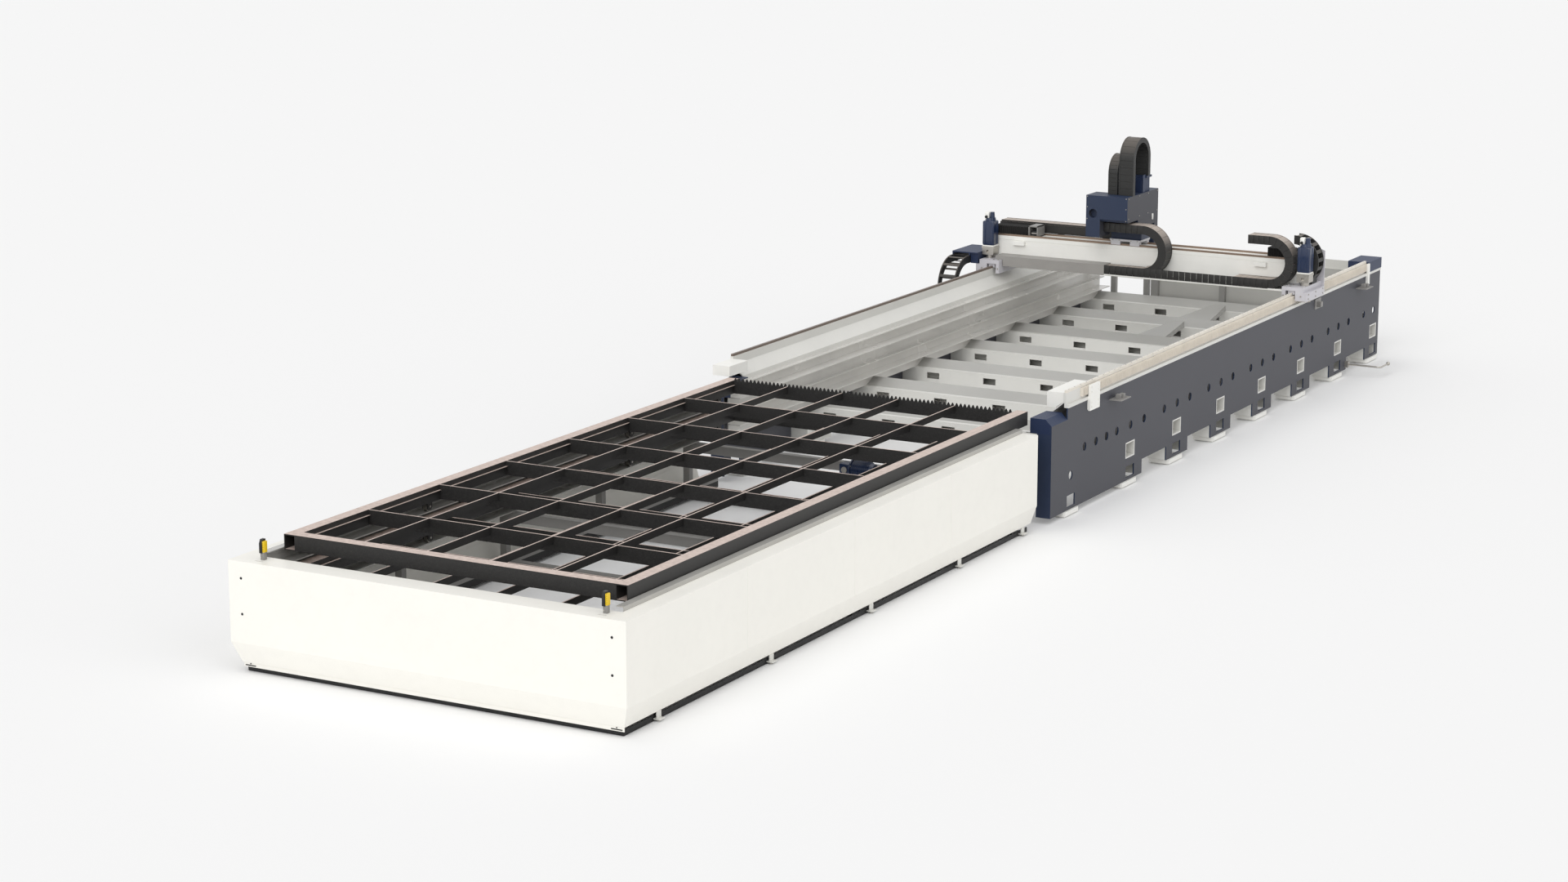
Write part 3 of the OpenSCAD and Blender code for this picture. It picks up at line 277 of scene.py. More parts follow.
def dark_steel():
    """Hot-rolled pallet steel: near black on its sides; faces that look up are pale, partly dust and
    partly a painted highlight.
    """
    s = Surface("Pallet_steel")
    # Upward faces drawn pale: dust together with painted light on the tops
    up = s.span(s.normal_axis("Z"), (0.55, 0.95), (0.0, 1.0))
    scale = s.noise(scale=90.0, detail=6.0, rough=0.75)
    side = s.ramp(scale, [(0.35, linear("1c1b1b")), (0.6, linear("2c2b2a")), (0.8, linear("4a4846"))])
    dust = s.noise(scale=26.0, detail=5.0, rough=0.6)
    top = s.ramp(dust, [(0.3, linear("b9a79d")), (0.75, linear("dcc9bf"))])
    s.bump(scale, 0.25, distance=0.0012)
    return s.finish(s.mix(up, side, top), s.span(scale, (0.3, 0.8), (0.38, 0.62)), specular=0.45)


def plastic(name, side_hex, highlight_top_hex):
    """Moulded chain plastic, with upward faces in a lighter top colour as a painted highlight."""
    s = Surface(name)
    side = linear(side_hex)
    # Painted highlight: faces that look up take the lighter top colour
    up = s.span(s.normal_axis("Z"), (0.2, 0.95), (0.0, 1.0))
    fine = s.noise(scale=160.0, detail=3.0)
    base = s.ramp(fine, [(0.3, shade(side, 0.85)), (0.7, shade(side, 1.15))])
    s.bump(fine, 0.12, FINE_BUMP)
    return s.finish(s.mix(up, base, linear(highlight_top_hex)), s.span(fine, (0.3, 0.7), (0.42, 0.6)), specular=0.4)


def bellows_cloth():
    """Coated black cloth with a fine weave."""
    s = Surface("Bellows_cloth")
    weave = s.noise(scale=700.0, detail=2.0)
    colour = s.ramp(weave, [(0.3, linear("141414")), (0.7, linear("2a2928"))])
    s.bump(weave, 0.3, FINE_BUMP)
    return s.finish(colour, rough=0.72, specular=0.3)


MATS = {
    "cream": paint("Skirt_cream", "F6F4ED", rough=0.38, wear=0.015),
    "white": paint("Machine_white", "DDDCD7", rough=0.36, wear=0.04),
    "bright": paint("Cap_white", "F4F3EE", rough=0.36, wear=0.02),
    # Table tracks: the track white drawn darker, as painted shade inside the table
    "inner": paint("Inner_track_shaded", "B4B2AD", rough=0.24, wear=0.12, coat=0.3),
    "grey": paint("Frame_grey", "8C8A87", rough=0.45, wear=0.1),
    "cover": paint("Cover_grey", "AEADA9", rough=0.42, wear=0.08),
    "duct": paint("Duct_grey", "9C9995", rough=0.5, wear=0.16, grain=0.2),
    "saddle": paint("Saddle_lilac", "C9C7CC", rough=0.4, wear=0.05),
    # Slate and navy coats: the blue fronts and grey flanks are painted light and shade on one paint
    "slate": lit_and_shaded_coat("Slate_coat", "1B2B47", "414249"),
    "navy": lit_and_shaded_coat("Navy_coat", "18294A", "2B3650"),
    "motor": paint("Motor_enamel", "162848", rough=0.3, wear=0.12, coat=0.3),
    "steel": machined("Ground_steel", "B9B5AE"),
    # Rails and racks: pale on the right and brown on the left as painted reflection and shade
    "rail": rail_metal("Rail_steel", "6E5F54", "E9E3D8"),
    "rack": rail_metal("Rack_steel", "7C6D60", "DAD2C5", rough=0.36),
    "track": paint("Track_white", "D5D3CE", rough=0.24, wear=0.1, coat=0.4),
    "beam_rail": machined("Beam_rail_steel", "9A8778"),
    "pallet": dark_steel(),
    # Chain, tray and dark plastics: the second colour is a painted highlight on their tops
    "chain": plastic("Chain_black", "2B2A29", "B3A79D"),
    "tray": plastic("Tray_black", "2A2928", "4A4744"),
    "loop": plastic("Loop_black", "2A2A29", "5E5852"),
    "black": plastic("Dark_plastic", "1A1A1B", "3C3C3E"),
    "sensor": sensor_mask(),
    "bellows": bellows_cloth(),
    "slide": painted_in_two("Slide_paint", "D4D3D6", "22304C", "Z", SLIDE_PLATE_TOP),
    "rear": painted_in_two("Rear_paint", "8E8D8A", "DAD9D3", "Y", REAR_PANEL_Y),
    # Base rails and cross beams: near black low down, a painted contact shadow under the skirts
    "base": painted_in_two("Base_paint_shadow_band", "1C1C1C", "8C8A87", "Z", CONTACT_SHADOW_TOP, rough=0.6),
    "head": painted_in_two("Head_paint", "B5713C", "232325", "Z", NOZZLE_TOP, rough=0.3),
}

NODE_MATS = {
    "table_skirt_front": "cream", "table_skirt_sides": "cream", "table_base_rails": "base",
    "table_cross_beams": "base", "table_tracks": "inner", "table_drive_motor": "motor",
    "table_sensor_posts": "black", "bed_side_right": "slate", "bed_side_left": "slate",
    "cross_tubes": "white", "rail_beam_right": "white", "rail_beam_left": "white",
    "guide_rails": "rail", "gear_racks": "rack", "bed_tracks": "track", "hopper_panels": "cover",
    "rear_wall": "rear", "rail_end_boxes": "bright", "end_stops": "bright", "limit_sensors": "grey",
    "bed_feet": "bright", "bed_legs": "white", "pull_rod": "steel", "bed_front_caps": "navy",
    "rear_corner_box": "navy", "gantry_beam": "bright", "beam_rails": "beam_rail", "cable_duct": "duct",
    "saddle_right": "saddle", "saddle_left": "saddle", "drive_motors": "motor",
    "motor_gearboxes": "steel", "pinion_right": "rack", "pinion_left": "rack",
    "beam_bellows": "bellows", "cross_chain_lower": "chain", "feed_chain": "chain",
    "end_chain": "loop", "side_chain": "loop", "side_chain_arm": "navy", "rear_trough": "chain",
    "carriage_housing": "slate", "carriage_slide": "slide", "cross_chain_upper": "chain",
    "cross_chain_bend": "chain", "lift_chain": "loop", "lift_hose_loop": "loop",
    "lift_drive_box": "navy", "head_slide": "steel", "cutting_head": "head",
}


def dress_nodes():
    """Gives every node its material; those without an entry are the pallets' wheels and steel."""
    for name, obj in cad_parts.items():
        key = NODE_MATS.get(name, "steel" if name.endswith("wheels") else "pallet")
        obj.data.materials.clear()
        obj.data.materials.append(MATS[key])


dress_nodes()

# Pieces in mesh code

# Share of a box's thinnest side that its bevel may take, and the angle from which an edge is sharp
BEVEL_SHARE = 0.3
SHARP_ANGLE = math.radians(32)

# How deep a bolt, screw or plate sits in the face that it stands on
SEAT = 0.001

# Cable chain: length of a link, thickness of its side plates and of the covers between them, how far
# the covers lie back, and the seam left at each end of a link
LINK = 0.062
LINK_SIDE = 0.012
LINK_COVER = 0.006
COVER_RECESS = 0.002
LINK_SEAM = 0.001


class Shape:
    """Collects bevelled boxes, discs and lofts in one mesh, each with its material.

    Each form is made in a mesh of its own, because Blender's tools keep their order from run to run
    only in a fresh one.
    """

    def __init__(self):
        self.bm = bmesh.new()
        self.mats = []

    def add(self, form, mat):
        """Copies a closed form into the shape, with its faces turned outwards."""
        if mat not in self.mats:
            self.mats.append(mat)
        bmesh.ops.recalc_face_normals(form, faces=form.faces[:])
        form.verts.index_update()
        verts = [self.bm.verts.new(v.co) for v in form.verts]
        for f in form.faces:
            face = self.bm.faces.new([verts[v.index] for v in f.verts])
            face.material_index = self.mats.index(mat)
        form.free()

    def box(self, lo, hi, mat, edge=0.002):
        """Bevelled box between two corners."""
        form = bmesh.new()
        size = Vector(hi) - Vector(lo)
        place = Matrix.Translation((Vector(hi) + Vector(lo)) / 2) @ Matrix.Diagonal((*size, 1.0))
        bmesh.ops.create_cube(form, size=1.0, matrix=place)
        bmesh.ops.bevel(form, geom=form.edges[:], offset=min(edge, min(size) * BEVEL_SHARE), segments=2,
                        affect="EDGES", profile=0.5)
        self.add(form, mat)

    def block(self, centre, half, z, mat, edge=0.002):
        """Bevelled box round a point in plan, with half its length each way, between two heights."""
        self.box((centre[0] - half[0], centre[1] - half[1], z[0]),
                 (centre[0] + half[0], centre[1] + half[1], z[1]), mat, edge)

    def disc(self, base, axis, radius, height, mat, sides=20, top=None):
        """Round or many-sided boss that stands on base and points along an axis."""
        form = bmesh.new()
        turn = Vector(axis).to_track_quat("Z", "Y").to_matrix().to_4x4()
        place = Matrix.Translation(Vector(base)) @ turn @ Matrix.Translation((0, 0, height / 2))
        bmesh.ops.create_cone(form, cap_ends=True, segments=sides, radius1=radius,
                              radius2=radius if top is None else top, depth=height, matrix=place)
        self.add(form, mat)

    def bolt(self, base, axis, radius, height):
        """Hexagonal steel head that stands on base and points along an axis."""
        self.disc(base, axis, radius, height, "steel", sides=6)

    def loft(self, rings, mat):
        """Skin over rings of points, closed at both ends."""
        form = bmesh.new()
        made = [[form.verts.new(p) for p in ring] for ring in rings]
        n = len(made[0])
        for a, b in zip(made, made[1:]):
            for i in range(n):
                form.faces.new((a[i], a[(i + 1) % n], b[(i + 1) % n], b[i]))
        form.faces.new(made[0][::-1])
        form.faces.new(made[-1])
        self.add(form, mat)

    def place(self, name, body, slot, *nodes):
        """Turns the shape into a piece that rides on a body and replaces nodes.
        """
        mesh = bpy.data.meshes.new(name)
        self.bm.to_mesh(mesh)
        self.bm.free()
        for mat in self.mats:
            mesh.materials.append(MATS[mat])
        mesh.shade_smooth()
        mesh.set_sharp_from_angle(angle=SHARP_ANGLE)
        obj = bpy.data.objects.new(name, mesh)
        bpy.context.scene.collection.objects.link(obj)
        if body:
            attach(obj, body)
        if nodes:
            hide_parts(*nodes)
        return obj


def ring_yz(x, lo, hi, inset):
    """Upright rectangle across the machine's X, with its sides and top drawn in."""
    y0, y1 = lo[0] + inset, hi[0] - inset
    return [(x, y0, lo[1]), (x, y0, hi[1] - inset), (x, y1, hi[1] - inset), (x, y1, lo[1])]


def pleated_cover(x0, x1, lo, hi):
    """Closed bellows along the beam between two places, drawn in at every second fold."""
    rim = 0.01
    height = 0.1
    pleat = 0.022
    depth = 0.009
    n = 2 * int((x1 - x0) / pleat)
    step = (x1 - x0) / n
    low = (lo[1] + rim, lo[2])
    high = (hi[1] - rim, lo[2] + height)
    s = Shape()
    s.loft([ring_yz(x0 + k * step, low, high, depth * (k % 2)) for k in range(n + 1)], "bellows")
    return s


def bellows():
    """Pleated covers over the beam's ends and the open end frame beside the left one."""
    lo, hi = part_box("beam_bellows")
    frame_x0, frame_x1 = -1.333, -1.225
    right_x0 = 1.257
    bar = 0.014
    core_in, core_top = 0.03, 0.06
    strip_in, strip_front = 0.03, 0.012
    strip_low, strip_top = 0.03, 0.045
    s = Shape()
    for x in (frame_x0, frame_x1 - bar):
        s.box((x, lo[1], lo[2]), (x + bar, hi[1], hi[2]), "grey")
    for z in (lo[2], hi[2] - bar):
        s.box((frame_x0, lo[1], z), (frame_x1, hi[1], z + bar), "grey")
    s.box((frame_x0 + bar, lo[1] + core_in, lo[2] + bar),
          (frame_x1 - bar, hi[1] - core_in, lo[2] + core_top), "black")
    s.box((frame_x0 + strip_in, lo[1] + strip_front, lo[2] + strip_low),
          (frame_x1 - bar, lo[1] + core_in, lo[2] + strip_top), "duct")
    s.place("Bellows_end_frame", "gantry", "bellows_black", "beam_bellows")
    left = pleated_cover(lo[0], frame_x0, lo, hi)
    left.place("Bellows_left", "gantry", "bellows_black", "beam_bellows")
    right = pleated_cover(right_x0, hi[0], lo, hi)
    right = right.place("Bellows_right", "gantry", "bellows_black", "beam_bellows")
    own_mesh(right)


def motor(s, x, y, half, low, high):
    """Servo motor with a bottom flange, ribbed body, cap, brake boss and connector."""
    flange_top = low + 0.012
    body_top = low + 0.262
    body_half = half - 0.004
    rib_at, rib_half = 0.042, 0.014
    rib_z = (low + 0.02, body_top - 0.008)
    bolt_x, bolt_y = rib_at * 1.14, 0.048
    cap_r, cap_top_r, cap_h = 0.056, 0.051, 0.03
    cap_top = body_top + cap_h
    brake_r, brake_top_r = 0.026, 0.021
    brake = (x + 0.024, y - 0.01, cap_top)
    connector_lo = (x - 0.05, y - 0.041, cap_top - 0.02)
    connector_hi = (x - 0.004, y + 0.015, high)
    plug_r, plug_l = 0.014, 0.018
    plug = (x - 0.027, connector_lo[1], cap_top + 0.012)
    s.block((x, y), (half, half), (low, flange_top), "bright")
    s.block((x, y), (body_half, body_half), (flange_top, body_top), "motor", edge=0.008)
    for way in (-1, 1):
        s.block((x + way * rib_at, y), (rib_half, half), rib_z, "motor", edge=0.003)
        s.block((x, y + way * rib_at), (half, rib_half), rib_z, "motor", edge=0.003)
        for end in (-1, 1):
            s.bolt((x + way * bolt_x, y + end * bolt_y, flange_top), UP, radius=0.006, height=0.007)
    s.disc((x, y, body_top), UP, cap_r, cap_h, "motor", sides=32, top=cap_top_r)
    s.box(connector_lo, connector_hi, "bright", edge=0.008)
    s.disc(brake, UP, brake_r, high - cap_top, "motor", sides=24, top=brake_top_r)
    s.disc(plug, FRONT, plug_r, plug_l, "black", sides=16)


def motors():
    """Servo motors at both ends of the beam."""
    lo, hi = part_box("drive_motors")
    half = (hi[1] - lo[1]) / 2
    s = Shape()
    for side in (-1, 1):
        motor(s, side * (hi[0] - half), (hi[1] + lo[1]) / 2, half, lo[2], hi[2])
    s.place("Drive_motors_detailed", "gantry", "motor_navy", "drive_motors")


def table_motor():
    """Round drive motor with fins, flange, fan cap and gearbox on its bracket."""
    lo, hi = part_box("table_drive_motor")
    flange_r, flange_t = 0.088, 0.012
    fin_r, fin_t, fin_pitch, fins = 0.078, 0.004, 0.012, 13
    core_r = fin_r - 0.006
    fan_r, fan_end_r, fan_l = fin_r - 0.008, fin_r - 0.018, 0.028
    vent_r, vent_t = 0.03, 0.001
    bolt_ring, bolts = 0.081, 6
    gear_l, gear_y, gear_z = 0.1, 0.055, 0.05
    output_r, output_h = 0.026, 0.01
    web_x0, web_x1 = 0.002, 0.01
    plate_x0, plate_x1, plate_t = -0.068, 0.08, 0.01
    bracket_low, bracket_top = lo[2] + 0.04, lo[2] + 0.112
    y = lo[1] + flange_r
    z = lo[2] + flange_r
    x0 = lo[0] + gear_l + flange_t
    x1 = hi[0] - fan_l
    s = Shape()
    s.disc((x0, y, z), RIGHT, core_r, x1 - x0, "motor", sides=40)
    for k in range(fins):
        s.disc((x0 + fin_pitch + k * fin_pitch, y, z), RIGHT, fin_r, fin_t, "motor", sides=40)
    s.disc((x0 - flange_t, y, z), RIGHT, flange_r, flange_t, "motor", sides=40)
    s.disc((x1, y, z), RIGHT, fan_r, fan_l, "motor", sides=40, top=fan_end_r)
    s.disc((hi[0] - vent_t, y, z), RIGHT, vent_r, vent_t, "black", sides=24)
    for k in range(bolts):
        a = 2 * math.pi * (k + 0.5) / bolts
        place = (x0, y + bolt_ring * math.cos(a), z + bolt_ring * math.sin(a))
        s.bolt(place, RIGHT, radius=0.005, height=0.006)
    s.box((lo[0], y - gear_y, z - gear_z), (x0 - flange_t, y + gear_y, z + gear_z), "motor", edge=0.008)
    s.disc((lo[0] + gear_l / 2, y - gear_y, z), FRONT, output_r, output_h, "steel", sides=24)
    s.box((x0 + web_x0, y, bracket_low), (x0 + web_x1, hi[1], bracket_top), "motor")
    s.box((x0 + plate_x0, hi[1] - plate_t, bracket_low), (x0 + plate_x1, hi[1], bracket_top), "motor")
    s.place("Table_drive_motor_finned", "frame", "motor_navy", "table_drive_motor")


def corner_closer(s, side, lo, hi, lip_x, bend_z):
    """Slanted sheet that closes a lower corner between the front skirt and a side skirt."""
    sheet = 0.008
    inside = 0.0004
    front_edge = (0.0085, 0.0635)
    rear_edge = (0.129, 0.129)
    top_x = side * (hi[0] - inside)
    low_x = side * (lip_x - inside)
    rings = []
    for top_y, low_y in (front_edge, rear_edge):
        outer = [(top_x, lo[1] + top_y, bend_z), (low_x, lo[1] + low_y, lo[2])]
        inner = [(x - side * sheet, y, z) for x, y, z in reversed(outer)]
        rings.append(outer + inner)
    s.loft(rings, "cream")


def foot_bracket(s, x, y, top):
    """Base plate, upright web and levelling screw under a side skirt's lip."""
    plate_half, plate_low, plate_top = (0.03, 0.032), 0.012, 0.022
    web_half, web_low = (0.005, 0.028), 0.02
    s.block((x, y), plate_half, (plate_low, plate_top), "white")
    s.block((x, y), web_half, (web_low, top), "white")
    s.bolt((x, y, 0.0), UP, radius=0.016, height=plate_low)


def skirt_details():
    """Screw caps, kick plate, black strips of painted shadow along the floor and corner closers of the
    table's skirts, and its foot brackets.
    """
    lo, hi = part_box("table_skirt_front")
    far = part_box("table_skirt_sides")[1][1]
    front, lip_z = lo[1], lo[2]
    bend_z = 0.226
    lip_x = hi[0] - 0.055
    cap_x, cap_heights = hi[0] - 0.11, (0.44, 0.702)
    cap_r, cap_face_r, cap_h, cap_seat = 0.011, 0.009, 0.004, 0.002
    kick_x, kick_low = lip_x - 0.006, 0.036
    kick_y0, kick_y1 = front + 0.064, front + 0.07
    slot_x, slot_half = lip_x - 0.065, (0.045, 0.0025)
    slot_y, slot_z = front + 0.0635, (0.044, 0.052)
    screw_y, screw_z = front + 0.065, 0.061
    # Low black strips under the skirts' lips stand for the dark shadow at the floor: painted shadow
    shadow_strip_z, shadow_strip_half = (0.001, 0.04), 0.005
    shadow_strip_y, shadow_strip_end = front + 0.09, far - 0.02
    shadow_strip_x, shadow_strip_front_x = lip_x - 0.027, lip_x - 0.023
    bracket_places = (0.495, 2.05, 3.59, 5.1, 6.28)
    s = Shape()
    for side in (-1, 1):
        for z in cap_heights:
            cap = (side * cap_x, front + cap_seat, z)
            s.disc(cap, FRONT, cap_r, cap_h, "black", top=cap_face_r)
        corner_closer(s, side, lo, hi, lip_x, bend_z)
        s.block((side * slot_x, slot_y), slot_half, slot_z, "black", edge=0.001)
        s.disc((side * slot_x, screw_y, screw_z), FRONT, 0.005, 0.004, "black", sides=12)
        # Black strip of painted shadow along the floor under the side skirt
        x = side * shadow_strip_x
        s.box((x - shadow_strip_half, shadow_strip_y, shadow_strip_z[0]), (x + shadow_strip_half, shadow_strip_end, shadow_strip_z[1]),
              "black", edge=0.001)
        for place in bracket_places:
            foot_bracket(s, side * lip_x, front + place, lip_z)
    s.box((-kick_x, kick_y0, kick_low), (kick_x, kick_y1, lip_z), "cream", edge=0.001)
    # The same painted shadow strip under the front
    s.block((0, shadow_strip_y), (shadow_strip_front_x, shadow_strip_half), shadow_strip_z, "black", edge=0.001)
    s.place("Skirt_details", "frame", "skirt_paint")


def sensor_posts():
    """Light sensors on their brackets, each with a yellow lens face on its right."""
    lo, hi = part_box("table_sensor_posts")
    y0, low = lo[1], lo[2]
    y1, top = hi[1], hi[2]
    wide = 0.042
    shell = 0.024
    foot_x, foot_y, foot_h = 0.004, 0.006, 0.06
    shell_low = low + 0.05
    slope_y, slope_z = 0.014, 0.03
    lens_y, lens_low, lens_top = 0.004, low + 0.056, top - 0.012
    bolt_x, bolt_y, bolt_z = 0.012, y0 + 0.008, low + 0.02
    s = Shape()
    for x in (lo[0], hi[0] - wide):
        s.box((x + foot_x, y0 + foot_y, low), (x + wide - foot_x, y1 - foot_y, low + foot_h), "grey",
              edge=0.003)
        side = [(y0, shell_low), (y1, shell_low), (y1, top), (y0 + slope_y, top), (y0, top - slope_z)]
        s.loft([[(a, y, z) for y, z in side] for a in (x, x + shell)], "black")
        s.box((x + shell, y0 + lens_y, lens_low), (x + wide, y1 - lens_y, lens_top), "sensor", edge=0.003)
        s.bolt((x + bolt_x, bolt_y, bolt_z), FRONT, radius=0.005, height=0.004)
    s.place("Sensor_posts_detailed", "frame", "sensor_black", "table_sensor_posts")


def flat_screw(s, x, y, face_z, radius, sides=8):
    """Low round screw head in an upper face."""
    sunk, height = 0.0005, 0.0013
    s.disc((x, y, face_z - sunk), UP, radius, height, "grey", sides)


def rail_screws():
    """Screw rows of the guide rails and the racks."""
    s = Shape()
    lo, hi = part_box("guide_rails")
    rail_pitch, rail_row = 0.12, hi[0] - 0.012
    for side in (-1, 1):
        for k in range(int((hi[1] - lo[1]) / rail_pitch)):
            flat_screw(s, side * rail_row, lo[1] + rail_pitch / 2 + k * rail_pitch, hi[2], 0.006, sides=10)
    lo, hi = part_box("gear_racks")
    rack_pitch, rack_row = 0.24, hi[0] - 0.018
    for side in (-1, 1):
        for k in range(int((hi[1] - lo[1]) / rack_pitch)):
            flat_screw(s, side * rack_row, lo[1] + rack_pitch / 2 + k * rack_pitch, hi[2], 0.004)
    s.place("Rail_screws", "frame", "bare_steel")


def gantry_screws():
    """Screw rows of the beam rails, and the bolts on top, flank and front of each saddle."""
    s = Shape()
    lo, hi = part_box("beam_rails")
    row_in, first, pitch, count = 0.012, 0.06, 0.126, 26
    for y in (lo[1] + row_in, hi[1] - row_in):
        for k in range(count):
            flat_screw(s, lo[0] + first + k * pitch, y, hi[2], 0.005)
    lo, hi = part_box("saddle_left")
    inner, outer = -hi[0], -lo[0]
    front, low = lo[1], lo[2]
    top_bolts = [(x, y) for x in (0.023, 0.075) for y in (0.03, 0.12)]
    flank_bolts = [(y, z) for z in (0.022, 0.067) for y in (0.04, 0.24, 0.44)]
    front_bolts = [(x, 0.047) for x in (0.015, 0.195)]
    for side in (-1, 1):
        for x, y in top_bolts:
            s.bolt((side * (inner + x), front + y, hi[2] - SEAT), UP, radius=0.009, height=0.008)
        for y, z in flank_bolts:
            s.bolt((side * (outer - SEAT), front + y, low + z), (side, 0, 0), radius=0.008, height=0.007)
        for x, z in front_bolts:
            s.bolt((side * (inner + x), front + SEAT, low + z), FRONT, radius=0.008, height=0.006)
    s.place("Gantry_screws", "gantry", "bare_steel")


def chain_tray():
    """Linked tray in front of the beam that carries the lower runs of both cross chains."""
    lo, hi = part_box("cross_chain_lower")
    feed_lo, feed_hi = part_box("feed_chain")
    bend_x = feed_hi[0] - (feed_hi[2] - feed_lo[2]) / 2
    n = round((bend_x - lo[0]) / LINK)
    pitch = (bend_x - lo[0]) / n
    wall = 0.003
    gap = 0.001
    in_y, in_z = lo[1] - gap, lo[2] - gap
    s = Shape()
    for k in range(n):
        x0 = lo[0] + k * pitch + LINK_SEAM
        x1 = lo[0] + (k + 1) * pitch - LINK_SEAM
        s.box((x0, in_y - wall, in_z - wall), (x1, in_y, hi[2]), "tray", edge=0.001)
        s.box((x0, in_y, in_z - wall), (x1, hi[1], in_z), "tray", edge=0.0005)
    s.place("Chain_tray", "gantry", "black_plastic")


def linked_run(s, x0, x1, lo, hi):
    """Straight stretch of closed cable chain along X, link by link; lo and hi give its Y and Z."""
    n = max(1, round((x1 - x0) / LINK))
    pitch = (x1 - x0) / n
    for k in range(n):
        a = x0 + k * pitch + LINK_SEAM
        b = x0 + (k + 1) * pitch - LINK_SEAM
        for y in (lo[1], hi[1] - LINK_SIDE):
            s.box((a, y, lo[2]), (b, y + LINK_SIDE, hi[2]), "chain", edge=0.001)
        for z in (lo[2] + COVER_RECESS, hi[2] - COVER_RECESS - LINK_COVER):
            s.box((a, lo[1] + LINK_SIDE, z), (b, hi[1] - LINK_SIDE, z + LINK_COVER), "chain", edge=0.001)


def arc_link(s, centre, y0, y1, r0, r1, a0, a1):
    """One curved piece of chain between two radii and two angles round the Y axis."""
    facets = 3
    cuts = [a0 + (a1 - a0) * i / facets for i in range(facets + 1)]
    points = [(r0, a) for a in cuts] + [(r1, a) for a in reversed(cuts)]
    s.loft([[(centre[0] + r * math.cos(a), y, centre[1] + r * math.sin(a)) for r, a in points]
            for y in (y0, y1)], "chain")


def feed_chain(lo, hi, run_h):
    """Feed chain: half a round of curved links at the beam's end and the two straight runs it joins."""
    upper_x, lower_x = 1.131, 0.99
    links = 10
    link_share = 0.97
    r_out = (hi[2] - lo[2]) / 2
    r_in = r_out - run_h
    centre = (hi[0] - r_out, (hi[2] + lo[2]) / 2)
    step = math.pi / links
    s = Shape()
    for k in range(links):
        a = -math.pi / 2 + k * step
        b = a + step * link_share
        for y in (lo[1], hi[1] - LINK_SIDE):
            arc_link(s, centre, y, y + LINK_SIDE, r_in, r_out, a, b)
        for r in (r_in + COVER_RECESS, r_out - COVER_RECESS - LINK_COVER):
            arc_link(s, centre, lo[1] + LINK_SIDE, hi[1] - LINK_SIDE, r, r + LINK_COVER, a, b)
    linked_run(s, upper_x, centre[0], (0, lo[1], centre[1] + r_in), (0, hi[1], hi[2]))
    linked_run(s, lower_x, centre[0], (0, lo[1], lo[2]), (0, hi[1], centre[1] - r_in))
    s.place("Feed_chain_linked", "gantry", "black_plastic", "feed_chain")


def cross_chains():
    """Feed chain, and the runs of the cross chain baked in place on no body.

    The lower run is slimmer than its node, so that it nests inside the bend.
    """
    lo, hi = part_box("feed_chain")
    up_lo, up_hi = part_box("cross_chain_upper")
    low_lo, low_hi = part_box("cross_chain_lower")
    nest_y, nest_z = 0.014, 0.0095
    feed_chain(lo, hi, up_hi[2] - up_lo[2])
    end_x = up_hi[0]
    upper = Shape()
    linked_run(upper, up_lo[0], end_x, up_lo, up_hi)
    upper = upper.place("Cross_chain_upper_run", None, "black_plastic", "cross_chain_upper")
    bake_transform(upper)
    lower = Shape()
    linked_run(lower, low_lo[0], low_hi[0], (0, low_lo[1] + nest_y, low_lo[2] + nest_z),
               (0, low_hi[1] - nest_y, low_hi[2] - nest_z))
    lower = lower.place("Cross_chain_lower_run", None, "black_plastic", "cross_chain_lower")
    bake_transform(lower)


def carriage_details():
    """Housing screws, a small upright plate on the housing's flank, and the slide's bolts."""
    lo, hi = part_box("carriage_housing")
    flank, front, top = hi[0] - SEAT, lo[1], hi[2]
    front_screws = [(x, top - z) for x in (lo[0] + 0.013, hi[0] - 0.015) for z in (0.238, 0.118, 0.013)]
    flank_screws = [(front + y, top - z) for y in (0.03, 0.3, 0.52, 0.75) for z in (0.218, 0.018)]
    plate_t, plate_y, plate_z = 0.012, (front + 0.62, front + 0.64), (top - 0.298, top - 0.238)
    s = Shape()
    for x, z in front_screws:
        s.disc((x, front + SEAT, z), FRONT, 0.005, 0.003, "steel", sides=10)
    for y, z in flank_screws:
        s.disc((flank, y, z), RIGHT, 0.006, 0.004, "steel", sides=10)
    s.box((flank, plate_y[0], plate_z[0]), (hi[0] + plate_t, plate_y[1], plate_z[1]), "bright", edge=0.003)
    slide_lo, slide_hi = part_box("carriage_slide")
    near, second = 0.03, 0.1
    bolt_z = BEAM_TOP + 0.054
    for x in (slide_lo[0] + near, slide_lo[0] + second, slide_hi[0] - second, slide_hi[0] - near):
        s.bolt((x, slide_lo[1] + SEAT, bolt_z), FRONT, radius=0.006, height=0.006)
    s.place("Carriage_details", "carriage", "slate_paint")


bellows()
motors()
table_motor()
skirt_details()
sensor_posts()
rail_screws()
gantry_screws()
chain_tray()
cross_chains()
carriage_details()

# Camera, floor and light

# Camera as solved from the photograph's straight edges: place, tilt below level and turn in degrees, lens
CAMERA_PLACE = (12.782, -25.269, 6.784)
CAMERA_TILT = 12.724
CAMERA_TURN = 29.147
CAMERA_LENS = 76.0

# Tone of floor and background, strength of the light from all round, and the floor's half width and depth
BACKDROP = 0.93
SKY_LEVEL = 0.55
FLOOR_HALF = 120.0
FLOOR_Z = -0.002


def add_camera():
    """Camera at the photograph's place, with its view."""
    cam = bpy.data.cameras.new("Photo_camera")
    cam.lens = CAMERA_LENS
    cam.sensor_width = 36.0
    cam.clip_end = 200.0
    obj = bpy.data.objects.new("Photo_camera", cam)
    obj.location = CAMERA_PLACE
    obj.rotation_euler = (math.radians(90 - CAMERA_TILT), 0, math.radians(CAMERA_TURN))
    bpy.context.scene.collection.objects.link(obj)
    bpy.context.scene.camera = obj


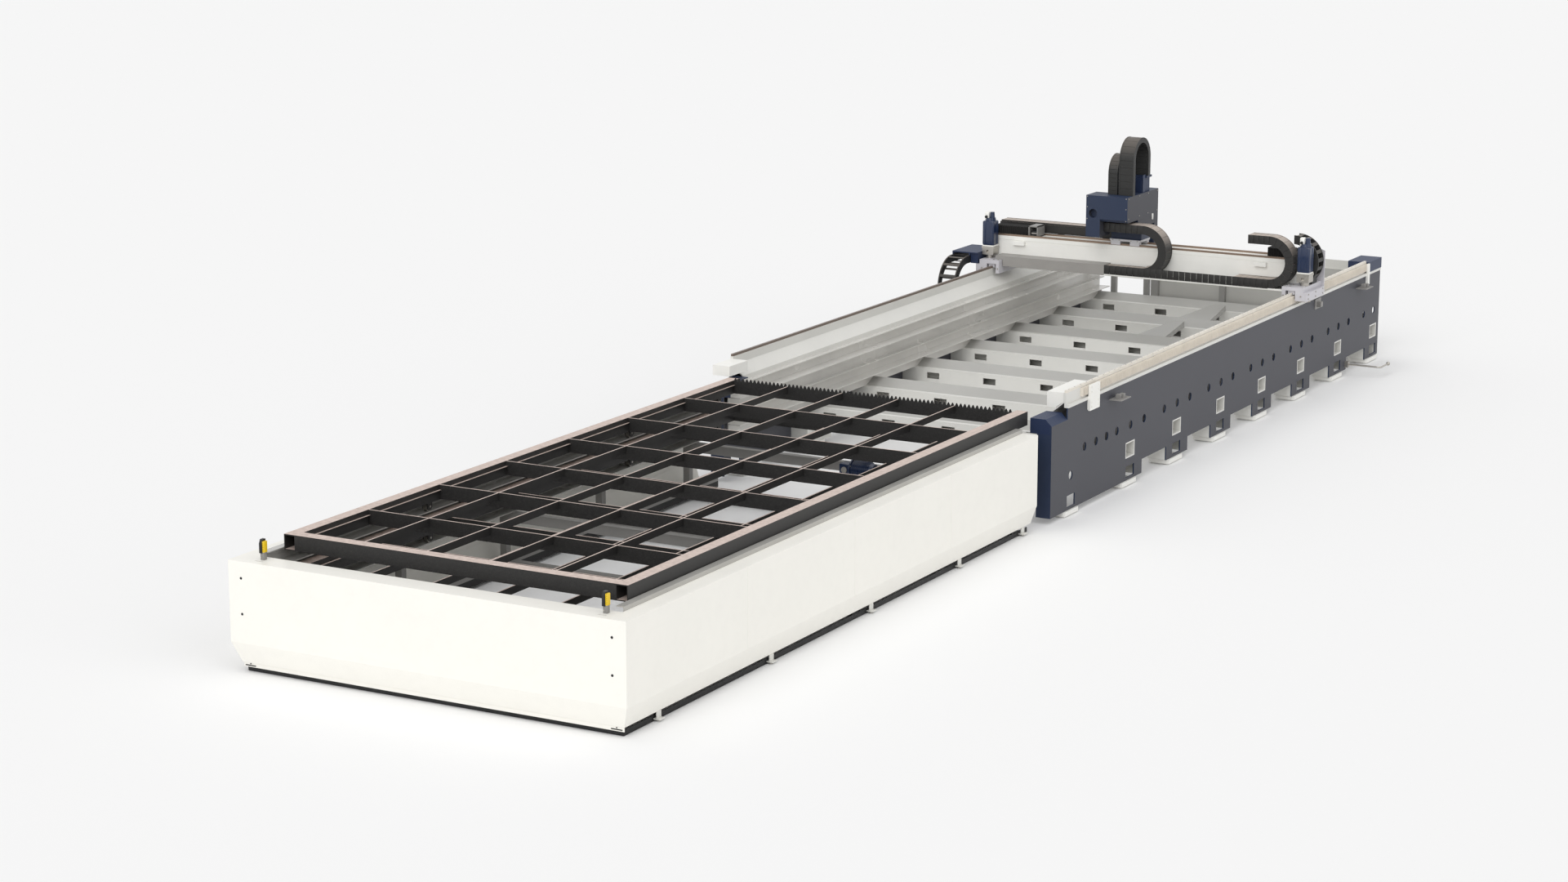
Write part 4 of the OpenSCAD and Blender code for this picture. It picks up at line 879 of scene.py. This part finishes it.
def floor_material():
    """Matt pale floor in the background's tone, which takes the machine's shadow."""
    s = Surface("Studio_floor")
    s.bsdf.inputs["Base Color"].default_value = (BACKDROP, BACKDROP, BACKDROP, 1)
    s.bsdf.inputs["Roughness"].default_value = 0.9
    s.bsdf.inputs["Specular IOR Level"].default_value = 0.0
    return s.mat


def add_stage():
    """Wide floor just below the feet."""
    bm = bmesh.new()
    bmesh.ops.create_grid(bm, x_segments=1, y_segments=1, size=FLOOR_HALF)
    me = bpy.data.meshes.new("Studio_floor")
    bm.to_mesh(me)
    bm.free()
    me.materials.append(floor_material())
    obj = bpy.data.objects.new("Studio_floor", me)
    obj.location = (0, 0, FLOOR_Z)
    bpy.context.scene.collection.objects.link(obj)


def add_world():
    """Even light from all round; camera, mirror and glass rays see the photo's pale background."""
    world = bpy.data.worlds.new("Studio_world")
    world.use_nodes = True
    tree = world.node_tree
    back = tree.nodes["Background"]
    back.inputs["Color"].default_value = (BACKDROP, BACKDROP, BACKDROP, 1)
    path = tree.nodes.new("ShaderNodeLightPath")
    seen = path.outputs["Is Camera Ray"]
    for ray in ("Is Glossy Ray", "Is Transmission Ray"):
        most = tree.nodes.new("ShaderNodeMath")
        most.operation = "MAXIMUM"
        tree.links.new(seen, most.inputs[0])
        tree.links.new(path.outputs[ray], most.inputs[1])
        seen = most.outputs[0]
    level = tree.nodes.new("ShaderNodeMapRange")
    level.inputs["To Min"].default_value = SKY_LEVEL / BACKDROP
    level.inputs["To Max"].default_value = 1.0
    tree.links.new(seen, level.inputs["Value"])
    tree.links.new(level.outputs["Result"], back.inputs["Strength"])
    bpy.context.scene.world = world


def soft_sun(name, towards, share, spread):
    """Wide lamp from far away; share is what it adds to a surface that faces it."""
    data = bpy.data.lights.new(name, "SUN")
    data.energy = share * math.pi
    data.angle = math.radians(spread)
    obj = bpy.data.objects.new(name, data)
    obj.rotation_euler = Vector(towards).to_track_quat("-Z", "Y").to_euler()
    bpy.context.scene.collection.objects.link(obj)


def add_lights():
    """Soft lamps that light the front, the right side and the top."""
    soft_sun("Front_light", towards=(-0.1, 0.85, -0.5), share=0.36, spread=40)
    soft_sun("Right_light", towards=(-0.85, 0.15, -0.5), share=0.16, spread=50)
    soft_sun("Top_light", towards=(0.05, 0.05, -1.0), share=0.18, spread=60)


bpy.context.scene.view_settings.view_transform = "Standard"
add_camera()
add_stage()
add_world()
add_lights()
